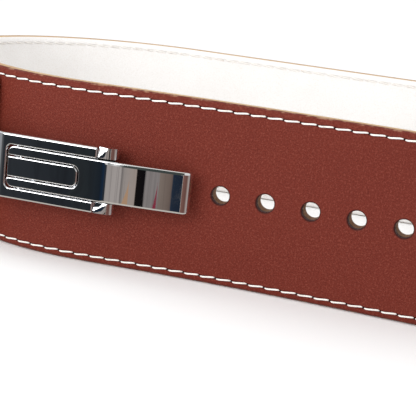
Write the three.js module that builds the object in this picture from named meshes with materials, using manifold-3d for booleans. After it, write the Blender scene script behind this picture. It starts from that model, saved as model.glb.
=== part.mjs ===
// Lever weightlifting belt, buckled and standing on its lower edge.
// Millimetres, +Z up. The outer leather face runs along +X at the front, +Y points away from the wearer's front.
import * as THREE from "three";
import { mergeVertices } from "three/addons/utils/BufferGeometryUtils.js";
import Module from "manifold-3d";

const wasm = await Module();
wasm.setup();

// Leather strip: places along it are counted from the first hole that shows beside the lever
const beltWidth = 101.6;
const facePly = 3.4;
const corePly = 7.3;
const plyGap = 0.3;
const edgeRound = 3;
const strapTip = -235;
const strapTipRound = 36;
const buckleEnd = -139;
const buckleEndRound = 12;
const lapGap = 0.6;

// Standing form of the belt: a nearly straight front, a bend at each side and a straight back
const frontEnd = 118;
const bendStart = -58;
const bendEase = 48;
const leftBendRadius = 117;
const frontDipRadius = 1000;
const dipPeak = -36;

// Punched holes
const holePitch = 25.4;
const holeDiameter = 10;
const firstHole = -6;
const lastHole = 5;
const pinnedHole = -1;

// Frame plate: a window frame with folded sides
const frameLength = 55;
const frameHalf = 18.5;
const frameSheet = 2.2;
const frameRise = 0.9;
const frameFlange = 4.6;
const flangeWall = 1.8;
const crosspiece = 2.1;
const bendShare = 0.4;

// Hook lever: two arms, a tongue that droops to a turned-down tip, and a prong
const leverHalf = 11.7;
const leverSheet = 2.4;
const armEndRound = 1;
const armSwingGap = 0.9;
const slotLength = 42.4;
const slotHalf = 6.3;
const slotRound = 3;
const tongueLength = 45.5;
const tongueDrop = 4.5;
const droopAtKnee = 0.45;
const kneeToFrame = 3.5;
const tipRound = 4.2;
const tipLip = 1;
const prongToTip = 6.4;
const prongRadius = 3.7;
const prongReach = 7.5;
const prongTaper = 2;

// Hinge pin and base tray
const pinInset = 4.5;
const pinRadius = 1.25;
const pinPlay = 0.2;
const knuckleWall = 1.25;
const trayPastPin = 3.5;
const trayFloor = 2;
const trayClear = 3;
const lugLength = 11;
const lugDrop = 1.4;
const lugRound = 3.6;
const lugDepth = 6;

// Mounting leaf and its screws on the buckle end of the belt
const leafLength = 46;
const screwInset = 15;
const screwPitch = 20;
const screwHalfSpread = 10;
const screwRadius = 2.5;
const screwHeadRadius = 5;
const screwHeadHeight = 2;
const screwShort = 2;
const nutWall = 1.1;
const nutFlangeRadius = 6.5;
const nutFlange = 1.2;

// Clearances between pieces that fit or rest together
const leverGap = 0.6;
const seat = 0.3;
const cutterReach = 5;

// Facets
const stationTurn = THREE.MathUtils.degToRad(5);
const stationRun = 45;
const roundSides = 20;
const cornerSteps = 5;
const edgeSteps = 2;
const endSteps = 6;
const walkStep = 1;

const thickness = facePly + plyGap + corePly;
const middle = beltWidth / 2;

// How the strap bends from its tip to the end of the front: curvature at places along it
const frontBends = [
  { at: strapTip, bend: 1 / leftBendRadius },
  { at: bendStart - bendEase, bend: 1 / leftBendRadius },
  { at: bendStart, bend: 0 },
  { at: dipPeak, bend: -1 / frontDipRadius },
  { at: frontEnd / 2, bend: -0.7 / frontDipRadius },
  { at: frontEnd, bend: 0 },
];

/** Walks along rows of places and curvatures, starting at the first row. */
function walk(rows, stop) {
  let x = 0;
  let y = 0;
  let heading = 0;
  for (let i = 0; i + 1 < rows.length && rows[i].at < stop; i++) {
    const span = rows[i + 1].at - rows[i].at;
    if (span === 0) continue;
    const run = Math.min(stop, rows[i + 1].at) - rows[i].at;
    const gain = (rows[i + 1].bend - rows[i].bend) / span;
    const steps = Math.ceil(run / walkStep);
    for (let n = 0; n < steps; n++) {
      const u = ((n + 0.5) * run) / steps;
      const turned = heading + rows[i].bend * u + (gain * u * u) / 2;
      x += (Math.cos(turned) * run) / steps;
      y += (Math.sin(turned) * run) / steps;
    }
    heading += rows[i].bend * run + (gain * run * run) / 2;
  }
  return { x, y, heading };
}

/** Place and heading of the outer face at a distance along the strip, with the first hole as zero. */
function pose(rows, at) {
  const zero = walk(rows, 0);
  const here = walk(rows, at);
  const spot = new THREE.Vector2(here.x - zero.x, here.y - zero.y);
  spot.rotateAround(new THREE.Vector2(), -zero.heading);
  return { x: spot.x, y: spot.y, heading: here.heading - zero.heading };
}

/** Centre of the left bend, shared by the strap and by the buckle end that laps over it. */
function leftBendCentre() {
  const spot = pose(frontBends, buckleEnd);
  return new THREE.Vector2(
    spot.x - leftBendRadius * Math.sin(spot.heading),
    spot.y + leftBendRadius * Math.cos(spot.heading),
  );
}

const bendCentre = leftBendCentre();
const outerRadius = leftBendRadius + lapGap + thickness;
const buckleEndHeading = pose(frontBends, buckleEnd).heading;

/** Rows for the hidden stretch: right bend, straight back and the outer left bend over the strap. */
function ringBends() {
  const start = pose(frontBends, frontEnd);
  const rightRadius = (bendCentre.y + outerRadius - start.y) / (1 + Math.cos(start.heading));
  const rightEnd = frontEnd + rightRadius * (Math.PI - start.heading);
  const backEnd = rightEnd + start.x - rightRadius * Math.sin(start.heading) - bendCentre.x;
  const ringEnd = backEnd + outerRadius * (Math.PI + buckleEndHeading);
  return [
    { at: frontEnd, bend: 1 / rightRadius },
    { at: rightEnd, bend: 1 / rightRadius },
    { at: rightEnd, bend: 0 },
    { at: backEnd, bend: 0 },
    { at: backEnd, bend: 1 / outerRadius },
    { at: ringEnd, bend: 1 / outerRadius },
  ];
}

const bends = [...frontBends, ...ringBends()];
const stripEnd = bends[bends.length - 1].at;

/** Distances along the strip at which its section is placed, closer together in the rounded ends. */
function stations() {
  const list = [bends[0].at];
  for (let i = 0; i + 1 < bends.length; i++) {
    const run = bends[i + 1].at - bends[i].at;
    if (run === 0) continue;
    const turn = (Math.abs(bends[i].bend + bends[i + 1].bend) / 2) * run;
    const steps = Math.max(1, Math.ceil(turn / stationTurn), Math.ceil(run / stationRun));
    for (let n = 1; n <= steps; n++) list.push(bends[i].at + (run * n) / steps);
  }
  const plain = list.filter((at) => at > strapTip + strapTipRound && at < stripEnd - buckleEndRound);
  const rounds = Array.from({ length: endSteps + 1 }, (_, n) => 1 - Math.cos((Math.PI / 2) * (n / endSteps)));
  return [
    ...rounds.map((share) => strapTip + strapTipRound * share),
    ...plain,
    ...rounds.map((share) => stripEnd - buckleEndRound * share).reverse(),
  ];
}

/** How far the rounded ends draw in the edges of the strip. */
function endInset(at) {
  const inset = (run, radius) => (run < radius ? radius - Math.sqrt(radius ** 2 - (radius - run) ** 2) : 0);
  return inset(at - strapTip, strapTipRound) + inset(stripEnd - at, buckleEndRound);
}

/** Point of the leather at a distance along the strip, a depth under its outer face and a height. */
function leatherPoint(at, depth, z) {
  const spot = pose(bends, at);
  return new THREE.Vector3(
    spot.x - Math.sin(spot.heading) * depth,
    spot.y + Math.cos(spot.heading) * depth,
    z,
  );
}

/** Corner points of a quarter round, from one side to the next. */
function quarterRound(depth, z, radius, fromAngle) {
  return Array.from({ length: edgeSteps + 1 }, (_, n) => {
    const angle = fromAngle + (Math.PI / 2) * (n / edgeSteps);
    return { depth: depth + radius * Math.cos(angle), z: z + radius * Math.sin(angle) };
  });
}

/** Section of the red facing ply, with both outer edges rounded over. */
function faceSection() {
  return [
    { depth: facePly, z: 0 },
    { depth: facePly, z: beltWidth },
    ...quarterRound(edgeRound, beltWidth - edgeRound, edgeRound, Math.PI / 2),
    ...quarterRound(edgeRound, edgeRound, edgeRound, Math.PI),
  ];
}

/** Section of the tan core ply, with both inner edges rounded over. */
function coreSection() {
  const inner = thickness - edgeRound;
  return [
    { depth: facePly + plyGap, z: beltWidth },
    { depth: facePly + plyGap, z: 0 },
    ...quarterRound(inner, edgeRound, edgeRound, -Math.PI / 2),
    ...quarterRound(inner, beltWidth - edgeRound, edgeRound, 0),
  ];
}

/** Sweeps a section along the strip and closes both ends. */
function sweepStrip(section) {
  const places = stations();
  const spots = places.flatMap((at) => section.map((p) => {
    const side = Math.sign(p.z - middle);
    return leatherPoint(at, p.depth, p.z - side * endInset(at));
  }));
  const count = section.length;
  const outline = section.map((p) => new THREE.Vector2(p.depth, p.z));
  const cap = THREE.ShapeUtils.triangulateShape(outline, []);
  const faces = [];
  for (let i = 0; i + 1 < places.length; i++) {
    for (let j = 0; j < count; j++) {
      const a = i * count + j;
      const b = i * count + ((j + 1) % count);
      faces.push(a, b, a + count, b, b + count, a + count);
    }
  }
  const last = (places.length - 1) * count;
  for (const [a, b, c] of cap) {
    faces.push(a, c, b);
    faces.push(last + a, last + b, last + c);
  }
  const geometry = new THREE.BufferGeometry();
  geometry.setAttribute("position", new THREE.Float32BufferAttribute(spots.flatMap((p) => p.toArray()), 3));
  geometry.setIndex(faces);
  return geometry;
}

/** Makes a solid of a closed geometry. */
function toSolid(geometry) {
  const bare = geometry.clone();
  bare.deleteAttribute("normal");
  bare.deleteAttribute("uv");
  const merged = mergeVertices(bare, 1e-4);
  const vertProperties = new Float32Array(merged.attributes.position.array);
  const triVerts = new Uint32Array(merged.index.array);
  return new wasm.Manifold(new wasm.Mesh({ numProp: 3, vertProperties, triVerts }));
}

/** Gives a solid back as a geometry. */
function toGeometry(solid) {
  const mesh = solid.getMesh();
  const geometry = new THREE.BufferGeometry();
  geometry.setAttribute("position", new THREE.Float32BufferAttribute(mesh.vertProperties, 3));
  geometry.setIndex(Array.from(mesh.triVerts));
  geometry.computeVertexNormals();
  return geometry;
}

/** Joins and cuts solids made of closed geometries. */
function carve(bodies, cutters) {
  let solid = bodies.map(toSolid).reduce((whole, piece) => whole.add(piece));
  for (const cutter of cutters) solid = solid.subtract(toSolid(cutter));
  return toGeometry(solid);
}

/** Frame on the leather: X along the strip, Y up the belt, Z out of its face. */
function leatherFrame(at, depth, z) {
  const heading = pose(bends, at).heading;
  const along = new THREE.Vector3(Math.cos(heading), Math.sin(heading), 0);
  const out = new THREE.Vector3(Math.sin(heading), -Math.cos(heading), 0);
  const frame = new THREE.Matrix4().makeBasis(along, new THREE.Vector3(0, 0, 1), out);
  return frame.setPosition(leatherPoint(at, depth, z));
}

/** Round drill through the leather, square to its face. */
function leatherDrill(at, z, radius, fromDepth, toDepth) {
  const drill = new THREE.CylinderGeometry(radius, radius, toDepth - fromDepth, roundSides);
  drill.rotateX(Math.PI / 2);
  return drill.applyMatrix4(leatherFrame(at, (fromDepth + toDepth) / 2, z));
}

// Buckle, set out from the prong in its hole: places along the front and heights over its face
const prongAt = pinnedHole * holePitch;
const tipAt = prongAt + prongToTip;
const kneeAt = tipAt - tongueLength;
const frameRight = kneeAt - kneeToFrame;
const frameLeft = frameRight - frameLength;
const windowLeft = frameLeft + crosspiece;
const leverLeft = windowLeft + armSwingGap;
const slotRight = leverLeft + slotLength;
const pinX = leverLeft + pinInset;
const trayLeft = pinX - trayPastPin;
const trayRight = frameRight + lugLength;
const frameTop = thickness + lapGap + seat + frameSheet + frameRise;
const tipTop = frameTop - tongueDrop;
const windowHalf = leverHalf + leverGap;
const railOuter = frameHalf - flangeWall - seat;
const railTop = frameTop - frameSheet - seat;
const pinOut = railTop - pinRadius;

// The mounting leaf leaves the bend of the frame plate along a tangent to the leather
const leafRadius = outerRadius + seat;
const bendSpot = new THREE.Vector2(frameLeft, frameSheet - frameTop).sub(bendCentre);
const leafStart = Math.atan2(-bendSpot.x, -bendSpot.y) + Math.acos(leafRadius / bendSpot.length());

/** Distance along the strip of a place on the mounting leaf. */
function leafToStrip(run) {
  const heading = -leafStart - run / leafRadius;
  return stripEnd - (buckleEndHeading - heading) * outerRadius;
}

const screwPlaces = [0, 1].flatMap((column) => [-1, 1].map((side) => ({
  at: leafToStrip(screwInset + column * screwPitch),
  z: middle + side * screwHalfSpread,
})));

/** Cutters shared by both plies: strap holes, and screw holes with a recess for each nut. */
function leatherCutters() {
  const cutters = [];
  const past = lapGap / 2;
  for (let n = firstHole; n <= lastHole; n++) {
    cutters.push(leatherDrill(n * holePitch, middle, holeDiameter / 2, -past, thickness + past));
  }
  for (const { at, z } of screwPlaces) {
    cutters.push(leatherDrill(at, z, screwRadius + seat + nutWall + seat, -past, thickness + past));
    const recess = thickness - nutFlange - 2 * seat;
    cutters.push(leatherDrill(at, z, nutFlangeRadius + seat, recess, thickness + past));
  }
  return cutters;
}

/** Outline in plan, extruded up the belt over a width about the middle. */
function extrudePlan(points, halfWidth) {
  const shape = new THREE.Shape(points);
  const solid = new THREE.ExtrudeGeometry(shape, { depth: 2 * halfWidth, bevelEnabled: false });
  return solid.translate(0, 0, middle - halfWidth);
}

/** Box given by its reach along the belt, outwards and up the belt. */
function block(x0, x1, out0, out1, z0, z1) {
  const box = new THREE.BoxGeometry(x1 - x0, out1 - out0, z1 - z0);
  return box.translate((x0 + x1) / 2, -(out0 + out1) / 2, middle + (z0 + z1) / 2);
}

/** Mirror pair of blocks on both sides of the middle. */
function blockPair(x0, x1, out0, out1, z0, z1) {
  return [block(x0, x1, out0, out1, z0, z1), block(x0, x1, out0, out1, -z1, -z0)];
}

/** Round rod across the belt. */
function rod(x, out, radius, halfLength) {
  const geometry = new THREE.CylinderGeometry(radius, radius, 2 * halfLength, roundSides);
  return geometry.rotateX(Math.PI / 2).translate(x, -out, middle);
}

/** Prism with rounded corners at its right end, cut through the buckle from outside. */
function slotPrism(left, right, half, radius) {
  const shape = new THREE.Shape();
  shape.moveTo(left, -half);
  shape.lineTo(right - radius, -half);
  shape.absarc(right - radius, radius - half, radius, -Math.PI / 2, 0, false);
  shape.absarc(right - radius, half - radius, radius, 0, Math.PI / 2, false);
  shape.lineTo(left, half);
  shape.closePath();
  const depth = 3 * frameTop;
  const prism = new THREE.ExtrudeGeometry(shape, { depth, bevelEnabled: false, curveSegments: cornerSteps });
  return prism.rotateX(Math.PI / 2).translate(0, depth / 2 - frameTop, middle);
}

/** Point on the mounting leaf, at a distance along it and over its inner face. */
function leafPoint(run, over) {
  const angle = leafStart + run / leafRadius;
  const radius = leafRadius + over;
  return new THREE.Vector2(
    bendCentre.x - radius * Math.sin(angle),
    bendCentre.y - radius * Math.cos(angle),
  );
}

/** Frame plate: window frame with folded sides, bent down to a curved mounting leaf. */
function framePlate() {
  const leafSteps = Math.ceil(leafLength / leafRadius / stationTurn);
  const leafRuns = Array.from({ length: leafSteps + 1 }, (_, n) => (leafLength * n) / leafSteps);
  const fold = frameSheet * bendShare;
  const plan = [
    new THREE.Vector2(frameRight, -frameTop),
    new THREE.Vector2(frameLeft, -frameTop),
    ...leafRuns.map((run) => leafPoint(run, frameSheet)),
    ...leafRuns.reverse().map((run) => leafPoint(run, 0)),
    new THREE.Vector2(frameLeft + fold, frameSheet - frameTop),
    new THREE.Vector2(frameRight, frameSheet - frameTop),
  ];
  const flangeLow = frameTop - frameFlange;
  const bodies = [
    extrudePlan(plan, frameHalf),
    ...blockPair(frameLeft + frameSheet, frameRight, flangeLow, frameTop - seat, frameHalf - flangeWall, frameHalf),
  ];
  const window = block(windowLeft, frameRight + cutterReach, 0, frameTop + cutterReach, -windowHalf, windowHalf);
  const drills = screwPlaces.map(({ at, z }) => leatherDrill(at, z, screwRadius + seat, -3 * frameSheet, seat));
  return carve(bodies, [window, ...drills]);
}

/** Base tray under the frame: floor, two side rails that carry the pin, and a lug at the end of each. */
function baseTray() {
  const railInner = windowHalf + seat;
  const lugTop = frameTop - lugDrop;
  const lugLow = lugTop - lugDepth;
  const lugLeft = frameRight + seat;
  const bodies = [
    block(trayLeft, trayRight - lugRound, trayClear, trayClear + trayFloor, -railOuter, railOuter),
    ...blockPair(trayLeft, trayRight - lugRound, trayClear, railTop, railInner, railOuter),
    ...[-1, 1].map((side) => {
      const plan = new THREE.Shape();
      plan.moveTo(lugLeft, -lugLow);
      plan.lineTo(lugLeft, -lugTop);
      plan.absarc(trayRight - lugRound, lugRound - lugTop, lugRound, -Math.PI / 2, 0, false);
      plan.lineTo(trayRight, -lugLow);
      plan.closePath();
      const depth = frameHalf - railInner;
      const lug = new THREE.ExtrudeGeometry(plan, { depth, bevelEnabled: false, curveSegments: cornerSteps });
      return lug.translate(0, 0, middle + (side > 0 ? railInner : -frameHalf));
    }),
  ];
  return carve(bodies, [rod(pinX, pinOut, pinRadius + pinPlay, frameHalf)]);
}

/** Height of the tongue's upper face: it droops more and more towards the tip. */
function tongueTop(x) {
  const share = (x - kneeAt) / tongueLength;
  return frameTop - tongueDrop * (droopAtKnee * share + (1 - droopAtKnee) * share * share);
}

/** Side outline of the hook lever: flat arms, a gently curved tongue and a turned-down tip. */
function leverPlan() {
  const tongueSteps = 8;
  const tongue = Array.from({ length: tongueSteps + 1 }, (_, n) => {
    const x = kneeAt + (tongueLength * n) / tongueSteps;
    return { x, out: tongueTop(x) };
  });
  const inside = tongue.map(({ x, out }) => ({ x, out: out - leverSheet })).reverse();
  const round = (radius, steps) => Array.from({ length: steps }, (_, n) => {
    const angle = (Math.PI / 2) * (1 - (n + 1) / steps);
    return { x: tipAt + radius * Math.cos(angle), out: tipTop - tipRound + radius * Math.sin(angle) };
  });
  const lipOut = tipTop - tipRound - tipLip;
  const armEnd = Array.from({ length: edgeSteps + 1 }, (_, n) => {
    const angle = Math.PI - (Math.PI / 2) * (n / edgeSteps);
    return {
      x: leverLeft + armEndRound * (1 + Math.cos(angle)),
      out: frameTop - armEndRound * (1 - Math.sin(angle)),
    };
  });
  return [
    ...armEnd,
    ...tongue,
    ...round(tipRound, cornerSteps),
    { x: tipAt + tipRound, out: lipOut },
    { x: tipAt + tipRound - leverSheet, out: lipOut },
    ...round(tipRound - leverSheet, cornerSteps).reverse(),
    ...inside,
    { x: leverLeft, out: frameTop - leverSheet },
  ].map(({ x, out }) => new THREE.Vector2(x - pinX, pinOut - out));
}

/** Hook lever with its welded prong, drawn about the pin's axis. */
function hookLever() {
  const top = tongueTop(prongAt) - leverSheet / 2;
  const profile = [
    new THREE.Vector2(0, -prongReach),
    new THREE.Vector2(prongRadius - prongTaper, -prongReach),
    new THREE.Vector2(prongRadius, prongTaper - prongReach),
    new THREE.Vector2(prongRadius, top),
    new THREE.Vector2(0, top),
  ];
  const prong = new THREE.LatheGeometry(profile, roundSides);
  prong.rotateX(Math.PI).translate(prongAt - pinX, pinOut, middle);
  const slot = slotPrism(leverLeft - cutterReach, slotRight, slotHalf, slotRound).translate(-pinX, pinOut, 0);
  const bore = rod(0, 0, pinRadius + pinPlay, frameHalf);
  const knuckle = rod(0, 0, pinRadius + pinPlay + knuckleWall, leverHalf);
  return carve([extrudePlan(leverPlan(), leverHalf), knuckle, prong], [slot, bore]);
}

/** Fixed tab that fills the slot of the lever, standing on the tray and held by the pin. */
function innerTab() {
  const tabHalf = slotHalf - leverGap;
  const tabRight = slotRight - leverGap;
  const prism = slotPrism(leverLeft, tabRight, tabHalf, slotRound - leverGap);
  const keep = block(leverLeft, tabRight, trayClear + trayFloor + seat, frameTop, -tabHalf, tabHalf);
  const body = toSolid(prism).intersect(toSolid(keep));
  const bore = toSolid(rod(pinX, pinOut, pinRadius + pinPlay, frameHalf));
  return toGeometry(body.subtract(bore));
}

/** Domed screw on the leaf, drawn with its shank along Y and its head outwards. */
function screwGeometry() {
  const shank = thickness - nutFlange - screwShort;
  return new THREE.LatheGeometry([
    new THREE.Vector2(0, -shank),
    new THREE.Vector2(screwRadius, -shank),
    new THREE.Vector2(screwRadius, frameSheet + 2 * seat),
    new THREE.Vector2(screwHeadRadius, frameSheet + 2 * seat),
    new THREE.Vector2(screwHeadRadius * 0.9, frameSheet + 2 * seat + screwHeadHeight * 0.6),
    new THREE.Vector2(screwHeadRadius * 0.5, frameSheet + 2 * seat + screwHeadHeight),
    new THREE.Vector2(0, frameSheet + 2 * seat + screwHeadHeight),
  ], roundSides);
}

/** Post nut that the screw goes into, with its flange sunk in the inner face of the leather. */
function nutGeometry() {
  const inner = -thickness + seat;
  return new THREE.LatheGeometry([
    new THREE.Vector2(0, inner),
    new THREE.Vector2(nutFlangeRadius, inner),
    new THREE.Vector2(nutFlangeRadius, inner + nutFlange),
    new THREE.Vector2(screwRadius + seat + nutWall, inner + nutFlange),
    new THREE.Vector2(screwRadius + seat + nutWall, -seat),
    new THREE.Vector2(screwRadius + seat, -seat),
    new THREE.Vector2(screwRadius + seat, inner + nutFlange),
    new THREE.Vector2(0, inner + nutFlange),
  ], roundSides);
}

const finishes = {
  redLeather: { color: 0x7c3a32, roughness: 0.6, metalness: 0 },
  tanLeather: { color: 0xa5784d, roughness: 0.8, metalness: 0 },
  polishedSteel: { color: 0xc4c7cc, roughness: 0.12, metalness: 1 },
};

/** Names a mesh and gives it a material of its own. */
function piece(name, geometry, finish) {
  const mesh = new THREE.Mesh(geometry, new THREE.MeshStandardMaterial(finishes[finish]));
  mesh.name = name;
  return mesh;
}

/** Places a screw or nut on the leather, with its own Y axis pointing out of the face. */
function seatOnLeather(mesh, at, z) {
  const heading = pose(bends, at).heading;
  mesh.position.copy(leatherPoint(at, 0, z));
  mesh.rotation.z = heading + Math.PI;
  return mesh;
}

const cutters = leatherCutters();
const belt = new THREE.Group();
belt.add(piece("facing_leather", carve([sweepStrip(faceSection())], cutters), "redLeather"));
belt.add(piece("core_leather", carve([sweepStrip(coreSection())], cutters), "tanLeather"));

const buckle = new THREE.Group();
buckle.add(piece("frame_plate", framePlate(), "polishedSteel"));
buckle.add(piece("base_tray", baseTray(), "polishedSteel"));
buckle.add(piece("inner_tab", innerTab(), "polishedSteel"));
buckle.add(piece("hinge_pin", rod(pinX, pinOut, pinRadius, railOuter), "polishedSteel"));
const lever = piece("hook_lever", hookLever(), "polishedSteel");
lever.position.set(pinX, -pinOut, 0);
buckle.add(lever);
belt.add(buckle);

screwPlaces.forEach(({ at, z }, n) => {
  belt.add(seatOnLeather(piece(`mounting_screw_${n + 1}`, screwGeometry(), "polishedSteel"), at, z));
  belt.add(seatOnLeather(piece(`post_nut_${n + 1}`, nutGeometry(), "polishedSteel"), at, z));
});

// The belt stands with the middle of its footprint over the origin
const model = new THREE.Group();
model.add(belt);
const footprint = new THREE.Box3().setFromObject(belt).getCenter(new THREE.Vector3());
belt.position.set(-footprint.x, -footprint.y, 0);

export default model;
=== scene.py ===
"""Lever weightlifting belt: the looks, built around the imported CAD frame.

Everything is in metres. A strip piece is modelled flat, with X along the belt from the first
hole beside the lever, Y the depth under the outer face and Z the height over the lower edge,
and is then wrapped onto the path that the standing belt follows.
"""

import logging
import math
import random
from contextlib import contextmanager
from dataclasses import dataclass
from enum import Enum
from typing import Callable, Iterator, Sequence

import bmesh
import bpy
import numpy as np
from mathutils import Matrix, Vector


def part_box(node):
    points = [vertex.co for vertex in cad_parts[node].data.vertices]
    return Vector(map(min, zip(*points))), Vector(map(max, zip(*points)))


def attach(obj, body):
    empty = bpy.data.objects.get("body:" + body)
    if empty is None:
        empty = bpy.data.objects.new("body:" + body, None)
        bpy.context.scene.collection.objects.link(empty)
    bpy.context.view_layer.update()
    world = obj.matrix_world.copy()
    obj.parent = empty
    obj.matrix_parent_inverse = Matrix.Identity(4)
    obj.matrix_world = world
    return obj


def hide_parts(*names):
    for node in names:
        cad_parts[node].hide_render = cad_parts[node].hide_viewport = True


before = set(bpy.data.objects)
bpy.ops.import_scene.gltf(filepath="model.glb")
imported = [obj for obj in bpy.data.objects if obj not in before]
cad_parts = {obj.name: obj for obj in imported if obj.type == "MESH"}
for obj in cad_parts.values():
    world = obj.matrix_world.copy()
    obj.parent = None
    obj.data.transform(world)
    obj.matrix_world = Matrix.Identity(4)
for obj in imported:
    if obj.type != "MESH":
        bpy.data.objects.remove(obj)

log = logging.getLogger("belt")

Piece = bpy.types.Object
Look = bpy.types.Material
Socket = bpy.types.NodeSocket
Test = Callable[[Vector, Vector], bool]
Spot = tuple[float, float, float]
Outline = Sequence[tuple[float, float]]
Colour = tuple[float, float, float, float]

TINY = 1e-5
# A direction counts as along another over this cosine, or as closely along it over the next
ALONG = 0.9
CLOSELY = 0.999
# Faces that meet at less than this angle, in radians, are one flat
FLAT_ANGLE = 0.003
FLAT_WEIGHT = 80


class Body(Enum):
    """Bodies of the frame that pieces ride on."""

    BELT = "belt"
    LEVER = "lever"


class Slot(Enum):
    """Material slots of the record."""

    RED = "red_leather"
    TAN = "tan_leather"
    STEEL = "polished_steel"


class Axis(Enum):
    """Directions that a piece is sliced across."""

    X = (1.0, 0.0, 0.0)
    Z = (0.0, 0.0, 1.0)


# Working by hand: small steps that every piece is made with


def alone(piece: Piece) -> None:
    """Makes one piece the active one, and the only one selected."""
    bpy.ops.object.select_all(action="DESELECT")
    piece.select_set(True)
    bpy.context.view_layer.objects.active = piece


@contextmanager
def editing(piece: Piece) -> Iterator[None]:
    """Holds one piece alone in edit mode.

    Args:
        piece: the mesh object to edit.
    """
    alone(piece)
    bpy.ops.object.mode_set(mode="EDIT")
    bpy.ops.mesh.select_mode(type="FACE")
    bpy.ops.mesh.select_all(action="DESELECT")
    yield
    bpy.ops.object.mode_set(mode="OBJECT")


def pick_faces(piece: Piece, test: Test) -> None:
    """Selects the faces that pass a test.

    Args:
        piece: the object in edit mode.
        test: takes a face's centre and normal.
    """
    bpy.ops.mesh.select_mode(type="FACE")
    bpy.ops.mesh.select_all(action="DESELECT")
    shape = bmesh.from_edit_mesh(piece.data)
    for face in shape.faces:
        face.select_set(test(face.calc_center_median(), face.normal))
    shape.select_flush_mode()
    bmesh.update_edit_mesh(piece.data)


def pick_edges(piece: Piece, test: Test) -> None:
    """Selects the edges that pass a test.

    Args:
        piece: the object in edit mode.
        test: takes an edge's middle and its direction.
    """
    bpy.ops.mesh.select_mode(type="EDGE")
    bpy.ops.mesh.select_all(action="DESELECT")
    shape = bmesh.from_edit_mesh(piece.data)
    for edge in shape.edges:
        first, second = (corner.co for corner in edge.verts)
        edge.select_set(test((first + second) / 2, (second - first).normalized()))
    shape.select_flush_mode()
    bmesh.update_edit_mesh(piece.data)


def slice_across(axis: Axis, places: Sequence[float]) -> None:
    """Cuts the whole piece in edit mode with planes, which adds rings of edges.

    Args:
        axis: the direction the planes stand across.
        places: where the planes stand on that axis.
    """
    for place in places:
        bpy.ops.mesh.select_all(action="SELECT")
        spot = tuple(place * part for part in axis.value)
        bpy.ops.mesh.bisect(plane_co=spot, plane_no=axis.value)


def round_picked(radius: float, steps: int) -> None:
    """Rounds the picked edges with a bevel of that radius and that many steps."""
    bpy.ops.mesh.bevel(offset=radius, offset_type="OFFSET", segments=steps, profile=0.5, affect="EDGES")


def push_picked(push: Spot) -> None:
    """Moves what is picked."""
    bpy.ops.transform.translate(value=push)


def pull_out(push: Spot) -> None:
    """Extrudes the picked faces by one push."""
    bpy.ops.mesh.extrude_region_move(TRANSFORM_OT_translate={"value": push})


def sweep_round(turn: float, centre: Spot, steps: int) -> None:
    """Sweeps the picked faces round a vertical line, anticlockwise as seen from above.

    Args:
        turn: the angle, negative for clockwise.
        centre: a point on the line.
        steps: how many steps the sweep has.
    """
    axis = (0, 0, -1) if turn > 0 else (0, 0, 1)
    bpy.ops.mesh.spin(steps=steps, angle=abs(turn), center=centre, axis=axis)


def settle(piece: Piece) -> None:
    """Puts an object's place, turn and scale into its mesh."""
    alone(piece)
    bpy.ops.object.transform_apply(location=True, rotation=True, scale=True)


def move(piece: Piece, matrix: Matrix) -> None:
    """Moves a piece by a matrix, which goes into its mesh."""
    piece.matrix_world = matrix
    settle(piece)


def sink_points(piece: Piece, depth: Callable[[Vector], float]) -> None:
    """Moves the points of a piece along Y.

    Args:
        piece: the object in edit mode.
        depth: takes a point's place, and says how far it moves.
    """
    shape = bmesh.from_edit_mesh(piece.data)
    for corner in shape.verts:
        corner.co.y += depth(corner.co)
    bmesh.update_edit_mesh(piece.data)


def cylinder(name: str, radius: float, length: float, sides: int, **settings: object) -> Piece:
    """Adds a cylinder along Z.

    Args:
        name: the new piece's name.
        radius: its radius.
        length: its length.
        sides: how many sides the round has.
        **settings: its place and turn, and how its ends are filled.

    Returns:
        The new object, with its place in its mesh.
    """
    bpy.ops.mesh.primitive_cylinder_add(vertices=sides, radius=radius, depth=length, **settings)
    piece = bpy.context.active_object
    piece.name = piece.data.name = name
    settle(piece)
    return piece


def block(name: str, low: Spot, high: Spot) -> Piece:
    """Adds a cube stretched from one corner to the other.

    Args:
        name: the new piece's name.
        low: its lowest corner.
        high: its highest corner.

    Returns:
        The new object, with its place in its mesh.
    """
    middle = [(a + b) / 2 for a, b in zip(low, high)]
    bpy.ops.mesh.primitive_cube_add(size=1, location=middle)
    piece = bpy.context.active_object
    piece.name = piece.data.name = name
    piece.scale = [b - a for a, b in zip(low, high)]
    settle(piece)
    return piece


def turned(name: str, profile: Outline, steps: int) -> Piece:
    """Turns a half outline about the Z axis, as on a lathe.

    Args:
        name: the new piece's name.
        profile: radius and height of each point, from one end of the axis to the other.
        steps: how many sides the round has.

    Returns:
        The new closed object.
    """
    mesh = bpy.data.meshes.new(name)
    points = [(radius, 0.0, height) for radius, height in profile]
    mesh.from_pydata(points, [(n, n + 1) for n in range(len(points) - 1)], [])
    piece = bpy.data.objects.new(name, mesh)
    bpy.context.collection.objects.link(piece)
    with editing(piece):
        bpy.ops.mesh.select_mode(type="EDGE")
        bpy.ops.mesh.select_all(action="SELECT")
        bpy.ops.mesh.spin(steps=steps, angle=2 * math.pi, center=(0, 0, 0), axis=Axis.Z.value)
        tidy_shell()
    return piece


def tidy_shell() -> None:
    """Merges doubles and turns all faces outwards."""
    bpy.ops.mesh.select_all(action="SELECT")
    bpy.ops.mesh.remove_doubles(threshold=TINY / 5)
    bpy.ops.mesh.normals_make_consistent(inside=False)


def modify(piece: Piece, kind: str, **settings: object) -> None:
    """Adds a modifier with its settings, and applies it."""
    change = piece.modifiers.new("change", kind)
    for name, value in settings.items():
        setattr(change, name, value)
    alone(piece)
    bpy.ops.object.modifier_apply(modifier=change.name)


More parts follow.
